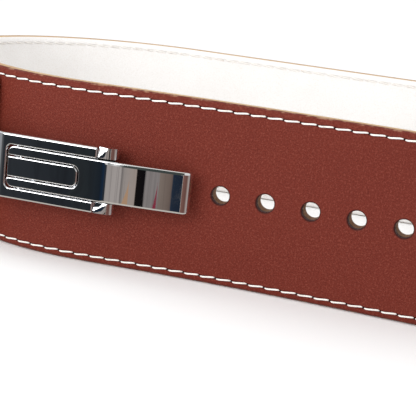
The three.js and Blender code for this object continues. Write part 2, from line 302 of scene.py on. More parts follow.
def combine(piece: Piece, tool: Piece, operation: str) -> None:
    """Adds or cuts one solid with another, which is used up.

    Args:
        piece: the solid that stays.
        tool: the solid that is added or taken away.
        operation: DIFFERENCE or UNION.
    """
    modify(piece, "BOOLEAN", operation=operation, solver="EXACT", object=tool)
    bpy.data.objects.remove(tool, do_unlink=True)


def soften(piece: Piece, width: float, steps: int = 3, angle: float = 40.0) -> None:
    """Rounds every edge that is sharper than an angle.

    Args:
        piece: the solid to soften.
        width: the width of the rounding.
        steps: how many steps it has.
        angle: the angle in degrees over which an edge counts as sharp.
    """
    modify(piece, "BEVEL", width=width, segments=steps, limit_method="ANGLE", angle_limit=math.radians(angle))


def join(pieces: Sequence[Piece], name: str) -> Piece:
    """Joins pieces into one object and names it."""
    bpy.ops.object.select_all(action="DESELECT")
    for piece in pieces:
        piece.select_set(True)
    bpy.context.view_layer.objects.active = pieces[0]
    bpy.ops.object.join()
    pieces[0].name = pieces[0].data.name = name
    return pieces[0]


def twin(piece: Piece, name: str) -> Piece:
    """Copies a piece, with a mesh of its own."""
    copy = piece.copy()
    copy.data = piece.data.copy()
    copy.name = copy.data.name = name
    bpy.context.collection.objects.link(copy)
    return copy


def shade(piece: Piece, angle: float = 32.0) -> None:
    """Shades a piece smooth, except over its sharp edges, with its flats kept flat.

    Args:
        piece: the finished mesh object.
        angle: the angle in degrees over which an edge stays sharp.
    """
    alone(piece)
    bpy.ops.object.shade_smooth_by_angle(angle=math.radians(angle))
    modify(piece, "WEIGHTED_NORMAL", keep_sharp=True, weight=FLAT_WEIGHT)


def hand_over(piece: Piece, body: Body, slot: Slot, look: Look, *nodes: str) -> None:
    """Gives a finished piece its material and body, hides the CAD nodes it stands for, and reports it.

    Args:
        piece: the finished object.
        body: the body it rides on.
        slot: the record's material slot it belongs to; not used.
        look: its material.
        nodes: the CAD nodes that it stands for.
    """
    piece.data.materials.clear()
    piece.data.materials.append(look)
    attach(piece, body.value)
    if nodes:
        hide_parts(*nodes)
    log.info("%s: %d faces on %s", piece.name, len(piece.data.polygons), body.value)


# Sizes that several pieces share


@dataclass(frozen=True)
class Strip:
    """Sizes of the leather strip, counted from the first hole beside the lever."""

    width: float = 0.1016
    face_ply: float = 0.0034
    ply_gap: float = 0.0003
    core_ply: float = 0.0073
    edge_round: float = 0.003
    tip: float = -0.235
    tip_round: float = 0.036
    buckle_end: float = -0.139
    buckle_end_round: float = 0.012
    lap_gap: float = 0.0006
    bend_radius: float = 0.117
    bend_start: float = -0.058
    bend_ease: float = 0.048
    dip_radius: float = 1.0
    dip_peak: float = -0.036
    front_end: float = 0.118
    hole_pitch: float = 0.0254
    hole_radius: float = 0.005
    first_hole: int = -6
    last_hole: int = 5
    pinned_hole: int = -1

    @property
    def thickness(self) -> float:
        """Thickness of both plies and the glue between them."""
        return self.face_ply + self.ply_gap + self.core_ply

    @property
    def middle(self) -> float:
        """Half the width of the belt."""
        return self.width / 2


@dataclass(frozen=True)
class Row:
    """A place along the strip and how much it bends there."""

    at: float
    bend: float


class StripPath:
    """The path that the outer face of the standing belt follows, seen from above."""

    STEP = 0.0005

    def __init__(self, strip: Strip) -> None:
        """Lays out the path of a strip, with its first hole at the origin.

        Args:
            strip: sizes of the leather.
        """
        self.strip = strip
        front = [
            Row(strip.tip, 1 / strip.bend_radius),
            Row(strip.bend_start - strip.bend_ease, 1 / strip.bend_radius),
            Row(strip.bend_start, 0),
            Row(strip.dip_peak, -1 / strip.dip_radius),
            Row(strip.front_end / 2, -0.7 / strip.dip_radius),
            Row(strip.front_end, 0),
        ]
        self.lay(front)
        x, y, heading = self.pose(strip.buckle_end)
        radius = strip.bend_radius
        self.centre = Vector((x - radius * math.sin(heading), y + radius * math.cos(heading)))
        self.outer_radius = radius + strip.lap_gap + strip.thickness
        self.end_heading = heading
        self.lay(front + self.ring())
        self.shift = Vector((0, 0))

    def ring(self) -> list[Row]:
        """Rows of the hidden stretch: right bend, straight back and the lapping left bend.

        Returns:
            The rows, from the end of the front to the end of the strip.
        """
        at = self.strip.front_end
        x, y, heading = self.pose(at)
        right = (self.centre.y + self.outer_radius - y) / (1 + math.cos(heading))
        right_end = at + right * (math.pi - heading)
        back_end = right_end + x - right * math.sin(heading) - self.centre.x
        end = back_end + self.outer_radius * (math.pi + self.end_heading)
        outer = 1 / self.outer_radius
        return [
            Row(at, 1 / right),
            Row(right_end, 1 / right),
            Row(right_end, 0),
            Row(back_end, 0),
            Row(back_end, outer),
            Row(end, outer),
        ]

    def lay(self, rows: Sequence[Row]) -> None:
        """Works out the path from rows of bends.

        Args:
            rows: places along the strip and their bends.
        """
        self.end = rows[-1].at
        places = np.linspace(rows[0].at, self.end, int((self.end - rows[0].at) / self.STEP) + 1)
        nudge = np.array([n * 1e-9 for n in range(len(rows))])
        bends = np.interp(places, np.array([row.at for row in rows]) + nudge, [row.bend for row in rows])
        step = places[1] - places[0]
        heading = np.concatenate([[0.0], np.cumsum((bends[1:] + bends[:-1]) / 2 * step)])
        mean = (heading[1:] + heading[:-1]) / 2
        x = np.concatenate([[0.0], np.cumsum(np.cos(mean) * step)])
        y = np.concatenate([[0.0], np.cumsum(np.sin(mean) * step)])
        zero = [np.interp(0.0, places, values) for values in (x, y, heading)]
        turn = -zero[2]
        x, y = x - zero[0], y - zero[1]
        self.places = places
        self.x = x * math.cos(turn) - y * math.sin(turn)
        self.y = x * math.sin(turn) + y * math.cos(turn)
        self.heading = heading - zero[2]

    def pose(self, at: float) -> tuple[float, float, float]:
        """Place and heading of the outer face at a distance along the strip."""
        return tuple(float(np.interp(at, self.places, values)) for values in (self.x, self.y, self.heading))

    def wrap(self, piece: Piece) -> None:
        """Moves a flat strip piece onto the path, and keeps its flat places as an attribute.

        Args:
            piece: the piece, modelled flat.
        """
        mesh = piece.data
        flat = np.empty(len(mesh.vertices) * 3)
        mesh.vertices.foreach_get("co", flat)
        kept = mesh.attributes.new("flat", "FLOAT_VECTOR", "POINT")
        kept.data.foreach_set("vector", flat)
        flat = flat.reshape(-1, 3)
        curves = (self.x, self.y, self.heading)
        x, y, heading = (np.interp(flat[:, 0], self.places, values) for values in curves)
        wrapped = np.column_stack([
            x - np.sin(heading) * flat[:, 1] + self.shift.x,
            y + np.cos(heading) * flat[:, 1] + self.shift.y,
            flat[:, 2],
        ])
        mesh.vertices.foreach_set("co", wrapped.ravel())
        mesh.update()

    def stand(self, at: float, z: float) -> Matrix:
        """Frame on the leather: X along the strip, Y up the belt, Z out of its outer face."""
        x, y, heading = self.pose(at)
        along = Vector((math.cos(heading), math.sin(heading), 0))
        out = Vector((math.sin(heading), -math.cos(heading), 0))
        turn = Matrix((along, Vector((0, 0, 1)), out)).transposed().to_4x4()
        return Matrix.Translation((x + self.shift.x, y + self.shift.y, z)) @ turn


@dataclass(frozen=True)
class BuckleSizes:
    """Sizes of the buckle, and where its parts stand along the front and over the leather."""

    strip: Strip
    frame_length: float = 0.055
    frame_half: float = 0.0185
    frame_sheet: float = 0.0022
    frame_rise: float = 0.0009
    frame_flange: float = 0.0046
    flange_wall: float = 0.0018
    crosspiece: float = 0.0021
    lever_half: float = 0.0117
    lever_sheet: float = 0.0024
    arm_swing_gap: float = 0.0009
    slot_length: float = 0.0424
    slot_half: float = 0.0063
    slot_round: float = 0.0041
    tongue_length: float = 0.0455
    tongue_drop: float = 0.0045
    droop_at_knee: float = 0.45
    knee_to_frame: float = 0.0035
    tip_round: float = 0.0042
    tip_lip: float = 0.001
    prong_to_tip: float = 0.0064
    prong_radius: float = 0.0037
    prong_reach: float = 0.0075
    pin_inset: float = 0.0045
    pin_radius: float = 0.00125
    pin_play: float = 0.0002
    knuckle_wall: float = 0.00125
    tray_past_pin: float = 0.0035
    tray_floor: float = 0.002
    tray_clear: float = 0.003
    lug_length: float = 0.011
    lug_drop: float = 0.0014
    lug_round: float = 0.0036
    lug_depth: float = 0.006
    leaf_length: float = 0.046
    screw_inset: float = 0.015
    screw_pitch: float = 0.02
    screw_half_spread: float = 0.01
    lever_gap: float = 0.0006
    seat: float = 0.0003

    @property
    def prong_at(self) -> float:
        """Place of the prong along the front."""
        return self.strip.pinned_hole * self.strip.hole_pitch

    @property
    def tip_at(self) -> float:
        """Place where the tongue turns down."""
        return self.prong_at + self.prong_to_tip

    @property
    def knee_at(self) -> float:
        """Place where the flat arms end and the tongue begins."""
        return self.tip_at - self.tongue_length

    @property
    def frame_right(self) -> float:
        """Right end of the frame plate."""
        return self.knee_at - self.knee_to_frame

    @property
    def frame_left(self) -> float:
        """Bend of the frame plate."""
        return self.frame_right - self.frame_length

    @property
    def lever_left(self) -> float:
        """Left end of the lever's arms."""
        return self.frame_left + self.crosspiece + self.arm_swing_gap

    @property
    def slot_right(self) -> float:
        """Right end of the lever's slot."""
        return self.lever_left + self.slot_length

    @property
    def pin_x(self) -> float:
        """Place of the hinge pin along the front."""
        return self.lever_left + self.pin_inset

    @property
    def frame_top(self) -> float:
        """Height of the frame plate's face over the strap."""
        return self.strip.thickness + self.strip.lap_gap + self.seat + self.frame_sheet + self.frame_rise

    @property
    def tip_top(self) -> float:
        """Height of the tongue's end over the strap."""
        return self.frame_top - self.tongue_drop

    @property
    def window_half(self) -> float:
        """Half the width of the frame's window."""
        return self.lever_half + self.lever_gap

    @property
    def rail_outer(self) -> float:
        """Half the width over the tray's rails."""
        return self.frame_half - self.flange_wall - self.seat

    @property
    def rail_top(self) -> float:
        """Height of the tray's rails over the strap."""
        return self.frame_top - self.frame_sheet - self.seat

    @property
    def pin_out(self) -> float:
        """Height of the hinge pin's axis over the strap."""
        return self.rail_top - self.pin_radius

    def drop(self, x: float) -> float:
        """How far the tongue has drooped at a place along the front."""
        share = (x - self.knee_at) / self.tongue_length
        return self.tongue_drop * (self.droop_at_knee * share + (1 - self.droop_at_knee) * share * share)


@dataclass
class MountingLeaf:
    """Where the curved leaf of the frame plate lies, and the screws in it."""

    path: StripPath
    sizes: BuckleSizes

    @property
    def radius(self) -> float:
        """Radius of the leaf's inner face about the middle of the left bend."""
        return self.path.outer_radius + self.sizes.seat

    @property
    def corner(self) -> Vector:
        """Inner corner of the frame plate's bend, from the middle of the left bend."""
        s = self.sizes
        return Vector((s.frame_left, s.frame_sheet - s.frame_top)) - self.path.centre

    @property
    def start(self) -> float:
        """Turn of the frame plate's bend, where the leaf leaves along a tangent."""
        corner = self.corner
        return math.atan2(-corner.x, -corner.y) + math.acos(self.radius / corner.length)

    @property
    def straight(self) -> float:
        """Length of the plate between its bend and the curved leaf."""
        return math.sqrt(self.corner.length_squared - self.radius**2)

    def screw_places(self) -> list[tuple[float, float]]:
        """Distances along the strip and heights of the four screws."""
        places = []
        for column in range(2):
            run = self.sizes.screw_inset + column * self.sizes.screw_pitch
            heading = -self.start - run / self.radius
            at = self.path.end - (self.path.end_heading - heading) * self.path.outer_radius
            for side in (-1, 1):
                places.append((at, self.sizes.strip.middle + side * self.sizes.screw_half_spread))
        return places


# Finishes


class Nodes:
    """Lays out the nodes of one material."""

    def __init__(self, name: str) -> None:
        """Starts a material with one principled shader.

        Args:
            name: the material's name.
        """
        self.material = bpy.data.materials.new(name)
        self.material.use_nodes = True
        self.tree = self.material.node_tree
        self.tree.nodes.clear()
        self.shader = self.add("ShaderNodeBsdfPrincipled")
        output = self.add("ShaderNodeOutputMaterial")
        self.tree.links.new(self.shader.outputs["BSDF"], output.inputs["Surface"])

    def add(self, kind: str, **settings: object) -> bpy.types.Node:
        """Adds a node and sets its own settings."""
        node = self.tree.nodes.new(kind)
        for name, value in settings.items():
            setattr(node, name, value)
        return node

    def feed(self, socket: Socket, value: object) -> None:
        """Links a socket to another one, or sets its value."""
        if isinstance(value, Socket):
            self.tree.links.new(value, socket)
        else:
            socket.default_value = value

    def flat(self) -> Socket:
        """Flat places of a strip piece, in metres."""
        return self.add("ShaderNodeAttribute", attribute_name="flat").outputs["Vector"]

    def places(self) -> Socket:
        """Object coordinates, in metres."""
        return self.add("ShaderNodeTexCoord").outputs["Object"]

    def stretch(self, vector: Socket, scale: Spot) -> Socket:
        """Scales a pattern's coordinates."""
        node = self.add("ShaderNodeMapping")
        self.feed(node.inputs["Vector"], vector)
        self.feed(node.inputs["Scale"], scale)
        return node.outputs["Vector"]

    def noise(
        self, vector: Socket, scale: float, detail: float = 3.0, rough: float = 0.55
    ) -> Socket:
        """Cloudy pattern.

        Args:
            vector: its coordinates.
            scale: how many cells it has in a metre.
            detail: how many finer layers it has.
            rough: how strong the finer layers are.

        Returns:
            A value about 0.5.
        """
        node = self.add("ShaderNodeTexNoise")
        for name, value in (("Vector", vector), ("Scale", scale), ("Detail", detail), ("Roughness", rough)):
            self.feed(node.inputs[name], value)
        return node.outputs["Fac"]

    def cells(self, vector: Socket, scale: float) -> Socket:
        """Distance to the edges of pebble shaped cells."""
        node = self.add("ShaderNodeTexVoronoi", feature="DISTANCE_TO_EDGE")
        self.feed(node.inputs["Vector"], vector)
        self.feed(node.inputs["Scale"], scale)
        return node.outputs["Distance"]

    def math(self, operation: str, *values: object) -> Socket:
        """Works out a value from others."""
        node = self.add("ShaderNodeMath", operation=operation)
        for socket, value in zip(node.inputs, values):
            self.feed(socket, value)
        return node.outputs["Value"]

    def nearest(self, value: object, pitch: float) -> Socket:
        """How far a value lies past the nearest multiple of a pitch."""
        steps = self.math("ROUND", self.math("DIVIDE", value, pitch))
        return self.math("SUBTRACT", value, self.math("MULTIPLY", steps, pitch))

    def off(self, value: object, middle: float) -> Socket:
        """How far a value lies from a middle, on either side."""
        return self.math("ABSOLUTE", self.math("SUBTRACT", value, middle))

    def reach(self, *parts: object) -> Socket:
        """Length of a line from its two parts."""
        return self.math("SQRT", self.math("ADD", *(self.math("MULTIPLY", part, part) for part in parts)))

    def between(self, value: object, low: object, high: object) -> Socket:
        """1 where a value lies between two others, and 0 elsewhere."""
        over, under = self.math("GREATER_THAN", value, low), self.math("LESS_THAN", value, high)
        return self.math("MULTIPLY", over, under)

    def split(self, vector: Socket) -> tuple[Socket, ...]:
        """Parts a vector into its three numbers."""
        node = self.add("ShaderNodeSeparateXYZ")
        self.feed(node.inputs["Vector"], vector)
        return tuple(node.outputs)

    def ramp(self, value: object, low: float, high: float, start: float = 0.0, end: float = 1.0) -> Socket:
        """Takes a value smoothly from start at low to end at high.

        Args:
            value: the value that is read.
            low: where the change begins.
            high: where it ends.
            start: the result below low.
            end: the result above high.

        Returns:
            The result.
        """
        node = self.add("ShaderNodeMapRange", interpolation_type="SMOOTHSTEP")
        for socket, number in zip(node.inputs, (value, low, high, start, end)):
            self.feed(socket, number)
        return node.outputs["Result"]

    def blend(self, share: object, first: object, second: object) -> Socket:
        """Mixes two colours.

        Args:
            share: how much of the second there is.
            first: the first colour.
            second: the second colour.

        Returns:
            The mixed colour.
        """
        node = self.add("ShaderNodeMix", data_type="RGBA")
        colours = [socket for socket in node.inputs if socket.type == "RGBA"]
        self.feed(node.inputs[0], share)
        self.feed(colours[0], first)
        self.feed(colours[1], second)
        return next(socket for socket in node.outputs if socket.type == "RGBA")

    def relief(self, height: object, strength: float, depth: float, under: object = None) -> Socket:
        """Raises a fine relief from a height pattern.

        Args:
            height: the pattern.
            strength: its share, from 0 to 1.
            depth: its height in metres.
            under: another relief that it lies on.

        Returns:
            The bent normal.
        """
        node = self.add("ShaderNodeBump")
        self.feed(node.inputs["Height"], height)
        self.feed(node.inputs["Strength"], strength)
        self.feed(node.inputs["Distance"], depth)
        if under is not None:
            self.feed(node.inputs["Normal"], under)
        return node.outputs["Normal"]

    def finish(self, **inputs: object) -> Look:
        """Feeds the shader's sockets, named with spaces as low lines."""
        for name, value in inputs.items():
            self.feed(self.shader.inputs[name.replace("_", " ")], value)
        return self.material


def round_holes(
    book: Nodes, strip: Strip, along: Socket, height: Socket, fade: tuple[float, float], most: float
) -> Socket:
    """Share of a ring that fades away from the rim of each punched hole.

    Args:
        book: the material's nodes.
        strip: sizes of the leather.
        along: the place along the strip.
        height: the height over its lower edge.
        fade: how far past the rim the ring starts to fade, and has gone.
        most: the share at the rim.

    Returns:
        The share.
    """
    reach = book.reach(book.nearest(along, strip.hole_pitch), book.math("SUBTRACT", height, strip.middle))
    ring = book.ramp(reach, strip.hole_radius + fade[0], strip.hole_radius + fade[1], most, 0.0)
    last, gone = ((strip.last_hole + past) * strip.hole_pitch for past in (0.5, 0.6))
    return book.math("MULTIPLY", ring, book.ramp(along, last, gone, 1.0, 0.0))


@dataclass(frozen=True)
class RedLeather:
    """Oiled red-brown leather: mottled and finely grained, with shade painted dark at the punched and needle
    holes.
    """

    strip: Strip
    stitch_margin: float
    stitch_pitch: float
    base: Colour = (0.1555, 0.0231, 0.0127, 1)
    light: Colour = (0.237, 0.0547, 0.0348, 1)
    deep: Colour = (0.0941, 0.0084, 0.0045, 1)
    # Painted shade, near black, for the rims of the punched holes and for the needle holes
    painted_hole_shade: Colour = (0.03, 0.008, 0.007, 1)
    worn: Colour = (0.36, 0.19, 0.11, 1)
    # Cells of each pattern in a metre
    clouds: float = 14
    mottle: float = 95
    scuffs: float = 230
    grain: float = 1500
    pores: float = 2600

    def material(self) -> Look:
        """Builds the material."""
        book = Nodes("red leather")
        flat = book.flat()
        along, _, height = book.split(flat)
        clouds = book.noise(flat, self.clouds, 4, 0.6)
        mottle = book.noise(flat, self.mottle, 4, 0.62)
        colour = book.blend(book.ramp(clouds, 0.3, 0.7, 0.12, 0.0), self.base, self.deep)
        colour = book.blend(book.ramp(mottle, 0.45, 0.75, 0.0, 0.12), colour, self.light)
        speck = book.noise(flat, self.grain, 2, 0.8)
        colour = book.blend(book.ramp(speck, 0.48, 0.64, 0.0, 0.85), colour, self.deep)
        speck_light = book.noise(flat, self.grain * 0.62, 2, 0.8)
        colour = book.blend(book.ramp(speck_light, 0.5, 0.66, 0.0, 0.72), colour, self.light)
        pebble = book.cells(flat, self.grain)
        colour = book.blend(book.ramp(pebble, 0.0, 0.14, 0.4, 0.0), colour, self.deep)
        # Painted shade: the eased rim and wall of each punched hole are darkened nearly to black
        painted_rim_shade = round_holes(book, self.strip, along, height, (0.0002, 0.0011), 0.8)
        colour = book.blend(painted_rim_shade, colour, self.painted_hole_shade)
        colour = book.blend(self.needle_hole_shade(book, along, height), colour, self.painted_hole_shade)
        edge = self.edge(book, height)
        scuff = book.noise(flat, self.scuffs, 5, 0.7)
        worn = book.math("MULTIPLY", edge, book.ramp(scuff, 0.5, 0.62))
        colour = book.blend(worn, colour, self.worn)
        normal = book.relief(clouds, 0.5, 0.0006)
        normal = book.relief(mottle, 0.4, 0.0003, normal)
        normal = book.relief(book.ramp(pebble, 0.0, 0.3), 0.6, 0.00012, normal)
        normal = book.relief(book.noise(flat, self.pores, 2, 0.6), 0.3, 0.00006, normal)
        rough = book.ramp(mottle, 0.3, 0.7, 0.52, 0.64)
        return book.finish(Base_Color=colour, Roughness=rough, Normal=normal, Specular_IOR_Level=0.14)

    def needle_hole_shade(self, book: Nodes, along: object, height: object) -> Socket:
        """Painted shade of a needle hole in each gap between stitches."""
        middle = self.strip.middle
        above = book.math("GREATER_THAN", height, middle)
        between_rows = StitchPlan.top_gap - StitchPlan.bottom_gap
        offset = book.math("ADD", StitchPlan.bottom_gap, book.math("MULTIPLY", above, between_rows))
        run = book.nearest(book.math("SUBTRACT", along, offset), self.stitch_pitch)
        line = book.math("SUBTRACT", middle - self.stitch_margin, book.off(height, middle))
        return book.ramp(book.reach(run, line), 0.0005, 0.0010, 0.95, 0.0)

    def edge(self, book: Nodes, height: object) -> Socket:
        """Share of wear at the very edges of the strip."""
        middle = self.strip.middle
        return book.ramp(book.off(height, middle), middle - 0.0009, middle - 0.0002)


@dataclass(frozen=True)
class TanLeather:
    """Undyed firm leather with a pale inner face, and the layered fibres of a cut along its edges."""

    strip: Strip
    base: Colour = (0.60, 0.42, 0.25, 1)
    light: Colour = (0.70, 0.52, 0.33, 1)
    deep: Colour = (0.42, 0.25, 0.12, 1)
    lining: Colour = (0.90, 0.89, 0.88, 1)
    lining_deep: Colour = (0.78, 0.76, 0.74, 1)
    wall: Colour = (0.20, 0.085, 0.035, 1)
    # Painted shade, near black, at the inner end of each punched hole
    painted_inner_rim_shade: Colour = (0.012, 0.009, 0.007, 1)
    # Cells of each pattern in a metre
    clouds: float = 16
    mottle: float = 120
    nap: float = 900
    pebbles: float = 1700
    fibres: Spot = (160, 2600, 2600)

    def material(self) -> Look:
        """Builds the material."""
        book = Nodes("tan leather")
        flat = book.flat()
        along, depth, height = book.split(flat)
        clouds = book.noise(flat, self.clouds, 4, 0.6)
        colour = book.blend(book.ramp(clouds, 0.3, 0.7), self.base, self.light)
        mottle = book.noise(flat, self.mottle, 4, 0.65)
        colour = book.blend(book.ramp(mottle, 0.5, 0.75, 0.0, 0.4), colour, self.deep)
        fibre = book.noise(book.stretch(flat, self.fibres), 1.0, 4, 0.7)
        middle, thick = self.strip.middle, self.strip.thickness
        side = book.ramp(book.off(height, middle), middle - 0.0022, middle - 0.0006)
        layers = book.math("MULTIPLY", side, book.ramp(fibre, 0.42, 0.62, 0.15, 0.75))
        colour = book.blend(layers, colour, self.deep)
        inner = book.ramp(depth, thick - 0.0022, thick - 0.0018)
        nap = book.noise(flat, self.nap, 3, 0.75)
        suede = book.blend(book.ramp(clouds, 0.35, 0.7, 0.0, 0.35), self.lining, self.lining_deep)
        suede = book.blend(book.ramp(nap, 0.48, 0.68, 0.0, 0.5), suede, self.lining_deep)
        colour = book.blend(inner, colour, suede)
        punched = round_holes(book, self.strip, along, height, (0.0003, 0.0009), 0.9)
        colour = book.blend(punched, colour, self.wall)
        # Painted shade round the inner end of each punched hole
        rim = book.ramp(depth, thick - 0.0011, thick - 0.0006)
        colour = book.blend(book.math("MULTIPLY", punched, rim), colour, self.painted_inner_rim_shade)
        pebble = book.cells(flat, self.pebbles)
        colour = book.blend(book.ramp(pebble, 0.0, 0.1, 0.22, 0.0), colour, self.deep)
        normal = book.relief(mottle, 0.4, 0.0003)
        normal = book.relief(book.ramp(pebble, 0.0, 0.3), 0.3, 0.00006, normal)
        normal = book.relief(book.math("MULTIPLY", fibre, side), 0.6, 0.0002, normal)
        rough = book.ramp(mottle, 0.3, 0.7, 0.6, 0.78)
        return book.finish(Base_Color=colour, Roughness=rough, Normal=normal, Specular_IOR_Level=0.08)


@dataclass(frozen=True)
class WaxedThread:
    """Off-white waxed thread with a twist, some dirt, and painted shade in the grooves of the twist."""

    base: Colour = (0.93, 0.91, 0.87, 1)
    # Both the colour of the dirt and that of the painted shade in the grooves of the twist
    dirt_and_twist_shade: Colour = (0.62, 0.52, 0.45, 1)
    dirt: float = 160
    twist: float = 5600
    twist_slope: float = 0.8

    def material(self) -> Look:
        """Builds the material."""
        book = Nodes("waxed thread")
        flat = book.flat()
        dirt = book.noise(flat, self.dirt, 4, 0.7)
        colour = book.blend(book.ramp(dirt, 0.5, 0.72, 0.0, 0.6), self.base, self.dirt_and_twist_shade)
        along, _, height = book.split(flat)
        twist = book.math("ADD", along, book.math("MULTIPLY", height, self.twist_slope))
        strands = book.math("SINE", book.math("MULTIPLY", twist, self.twist))
        # Painted shade in the grooves between the strands of the twist
        colour = book.blend(book.ramp(strands, -1.0, -0.4, 0.45, 0.0), colour, self.dirt_and_twist_shade)
        normal = book.relief(strands, 0.5, 0.00012)
        return book.finish(Base_Color=colour, Roughness=0.55, Normal=normal, Sheen_Weight=0.15)


@dataclass(frozen=True)
class PolishedSteel:
    """Chrome plated steel, polished bright, with a few faint wipe marks."""

    base: Colour = (0.77, 0.78, 0.80, 1)
    smeared: Colour = (0.66, 0.67, 0.69, 1)
    smooth: float = 0.006
    dull: float = 0.03
    smears: float = 60
    ripples: float = 45
    hairs: Spot = (60, 900, 2600)

    def material(self) -> Look:
        """Builds the material."""
        book = Nodes("polished steel")
        places = book.places()
        smear = book.noise(places, self.smears, 5, 0.65)
        hair = book.noise(book.stretch(places, self.hairs), 1.0, 3, 0.7)
        rough = book.ramp(smear, 0.42, 0.72, self.smooth, self.dull)
        tone = book.blend(book.ramp(smear, 0.45, 0.8, 0.0, 0.5), self.base, self.smeared)
        normal = book.relief(hair, 0.02, 0.00002)
        normal = book.relief(book.noise(places, self.ripples, 2, 0.5), 0.05, 0.00012, normal)
        return book.finish(Base_Color=tone, Roughness=rough, Metallic=1.0, Normal=normal)


# Pieces of the belt


@dataclass
class LeatherPlies:
    """The two plies of the strap: red facing outside, tan core inside."""

    path: StripPath
    leaf: MountingLeaf
    stitch_margin: float
    bend_station: float = 0.006
    groove_half: float = 0.0009
    groove_depth: float = 0.0006
    rim_flare: float = 0.0009
    rim_steps: int = 4
    punch_past: float = 0.001
    hole_sides: int = 40
    nut_sides: int = 32
    nut_hole: float = 0.0042
    nut_flange: float = 0.0068
    nut_recess: float = 0.0018
    edge_steps: int = 5
    tip_steps: int = 16
    buckle_end_steps: int = 10

    @property
    def strip(self) -> Strip:
        """Sizes of the leather."""
        return self.path.strip

    def ply(self, name: str, near: float, far: float, face: float) -> Piece:
        """Cuts one ply flat, rounds it, presses its stitch grooves and punches it.

        Args:
            name: the ply's name.
            near: depth of its outer side.
            far: depth of its inner side.
            face: which of the two shows, and is rounded and grooved.

        Returns:
            The flat ply.
        """
        strip = self.strip
        inwards = 1.0 if face == near else -1.0
        piece = block(name, (strip.tip, near, 0), (self.path.end, far, strip.width))
        with editing(piece):
            for end, radius, steps in (
                (strip.tip, strip.tip_round, self.tip_steps),
                (self.path.end, strip.buckle_end_round, self.buckle_end_steps),
            ):
                pick_edges(piece, lambda spot, way: abs(spot.x - end) < TINY and abs(way.y) > ALONG)
                round_picked(radius, steps)
            pick_edges(piece, lambda spot, way: abs(spot.y - face) < TINY and abs(way.y) < 0.1)
            round_picked(strip.edge_round, self.edge_steps)
            count = int((self.path.end - strip.tip) / self.bend_station)
            slice_across(Axis.X, [strip.tip + (n + 0.5) * self.bend_station for n in range(count)])
            grooves = (self.stitch_margin, strip.width - self.stitch_margin)
            for middle in grooves:
                slice_across(Axis.Z, [middle - self.groove_half, middle, middle + self.groove_half])
            for middle in grooves:
                pick_edges(
                    piece,
                    lambda spot, way: max(abs(spot.y - face), abs(spot.z - middle)) < TINY
                    and abs(way.x) > ALONG,
                )
                push_picked((0, inwards * self.groove_depth, 0))
        combine(piece, self.punches(), "DIFFERENCE")
        return piece

    def punches(self) -> Piece:
        """Makes all the punches as one tool: strap holes with eased rims, and nut holes.

        Returns:
            The joined tool, standing through the flat strip.
        """
        strip = self.strip
        past, deep = self.punch_past, strip.thickness
        turns = [math.pi / 2 * n / self.rim_steps for n in range(self.rim_steps + 1)]
        rim = [
            (strip.hole_radius + self.rim_flare * (1 - math.sin(turn)), self.rim_flare * (1 - math.cos(turn)))
            for turn in turns
        ]
        widest = rim[0][0] + past
        spool = [(0, -past), (widest, -past), *rim]
        spool += [(radius, deep - down) for radius, down in reversed(rim)]
        spool += [(widest, deep + past), (0, deep + past)]
        hole = turned("strap punch", spool, self.hole_sides)
        recess = deep - self.nut_recess
        nut = turned(
            "nut punch",
            [
                (0, -past),
                (self.nut_hole, -past),
                (self.nut_hole, recess),
                (self.nut_flange, recess),
                (self.nut_flange, deep + past),
                (0, deep + past),
            ],
            self.nut_sides,
        )
        numbers = range(strip.first_hole, strip.last_hole + 1)
        spots = [(n * strip.hole_pitch, strip.middle, hole) for n in numbers]
        spots += [(at, z, nut) for at, z in self.leaf.screw_places()]
        tools = []
        for n, (at, z, model) in enumerate(spots):
            tools.append(twin(model, f"punch {n}"))
            move(tools[-1], Matrix.Translation((at, 0, z)) @ Matrix.Rotation(-math.pi / 2, 4, "X"))
        for model in (hole, nut):
            bpy.data.objects.remove(model, do_unlink=True)
        return join(tools, "punches")

    def build(self, red: Look, tan: Look) -> None:
        """Makes the red facing ply and the tan core ply.

        Args:
            red: the material of the facing.
            tan: the material of the core.
        """
        strip = self.strip
        near, far = strip.face_ply + strip.ply_gap, strip.thickness
        for name, ply, slot, look, node in (
            ("belt_facing", (0.0, strip.face_ply, 0.0), Slot.RED, red, "facing_leather"),
            ("belt_core", (near, far, far), Slot.TAN, tan, "core_leather"),
        ):
            piece = self.ply(name, *ply)
            self.path.wrap(piece)
            shade(piece)
            hand_over(piece, Body.BELT, slot, look, node)


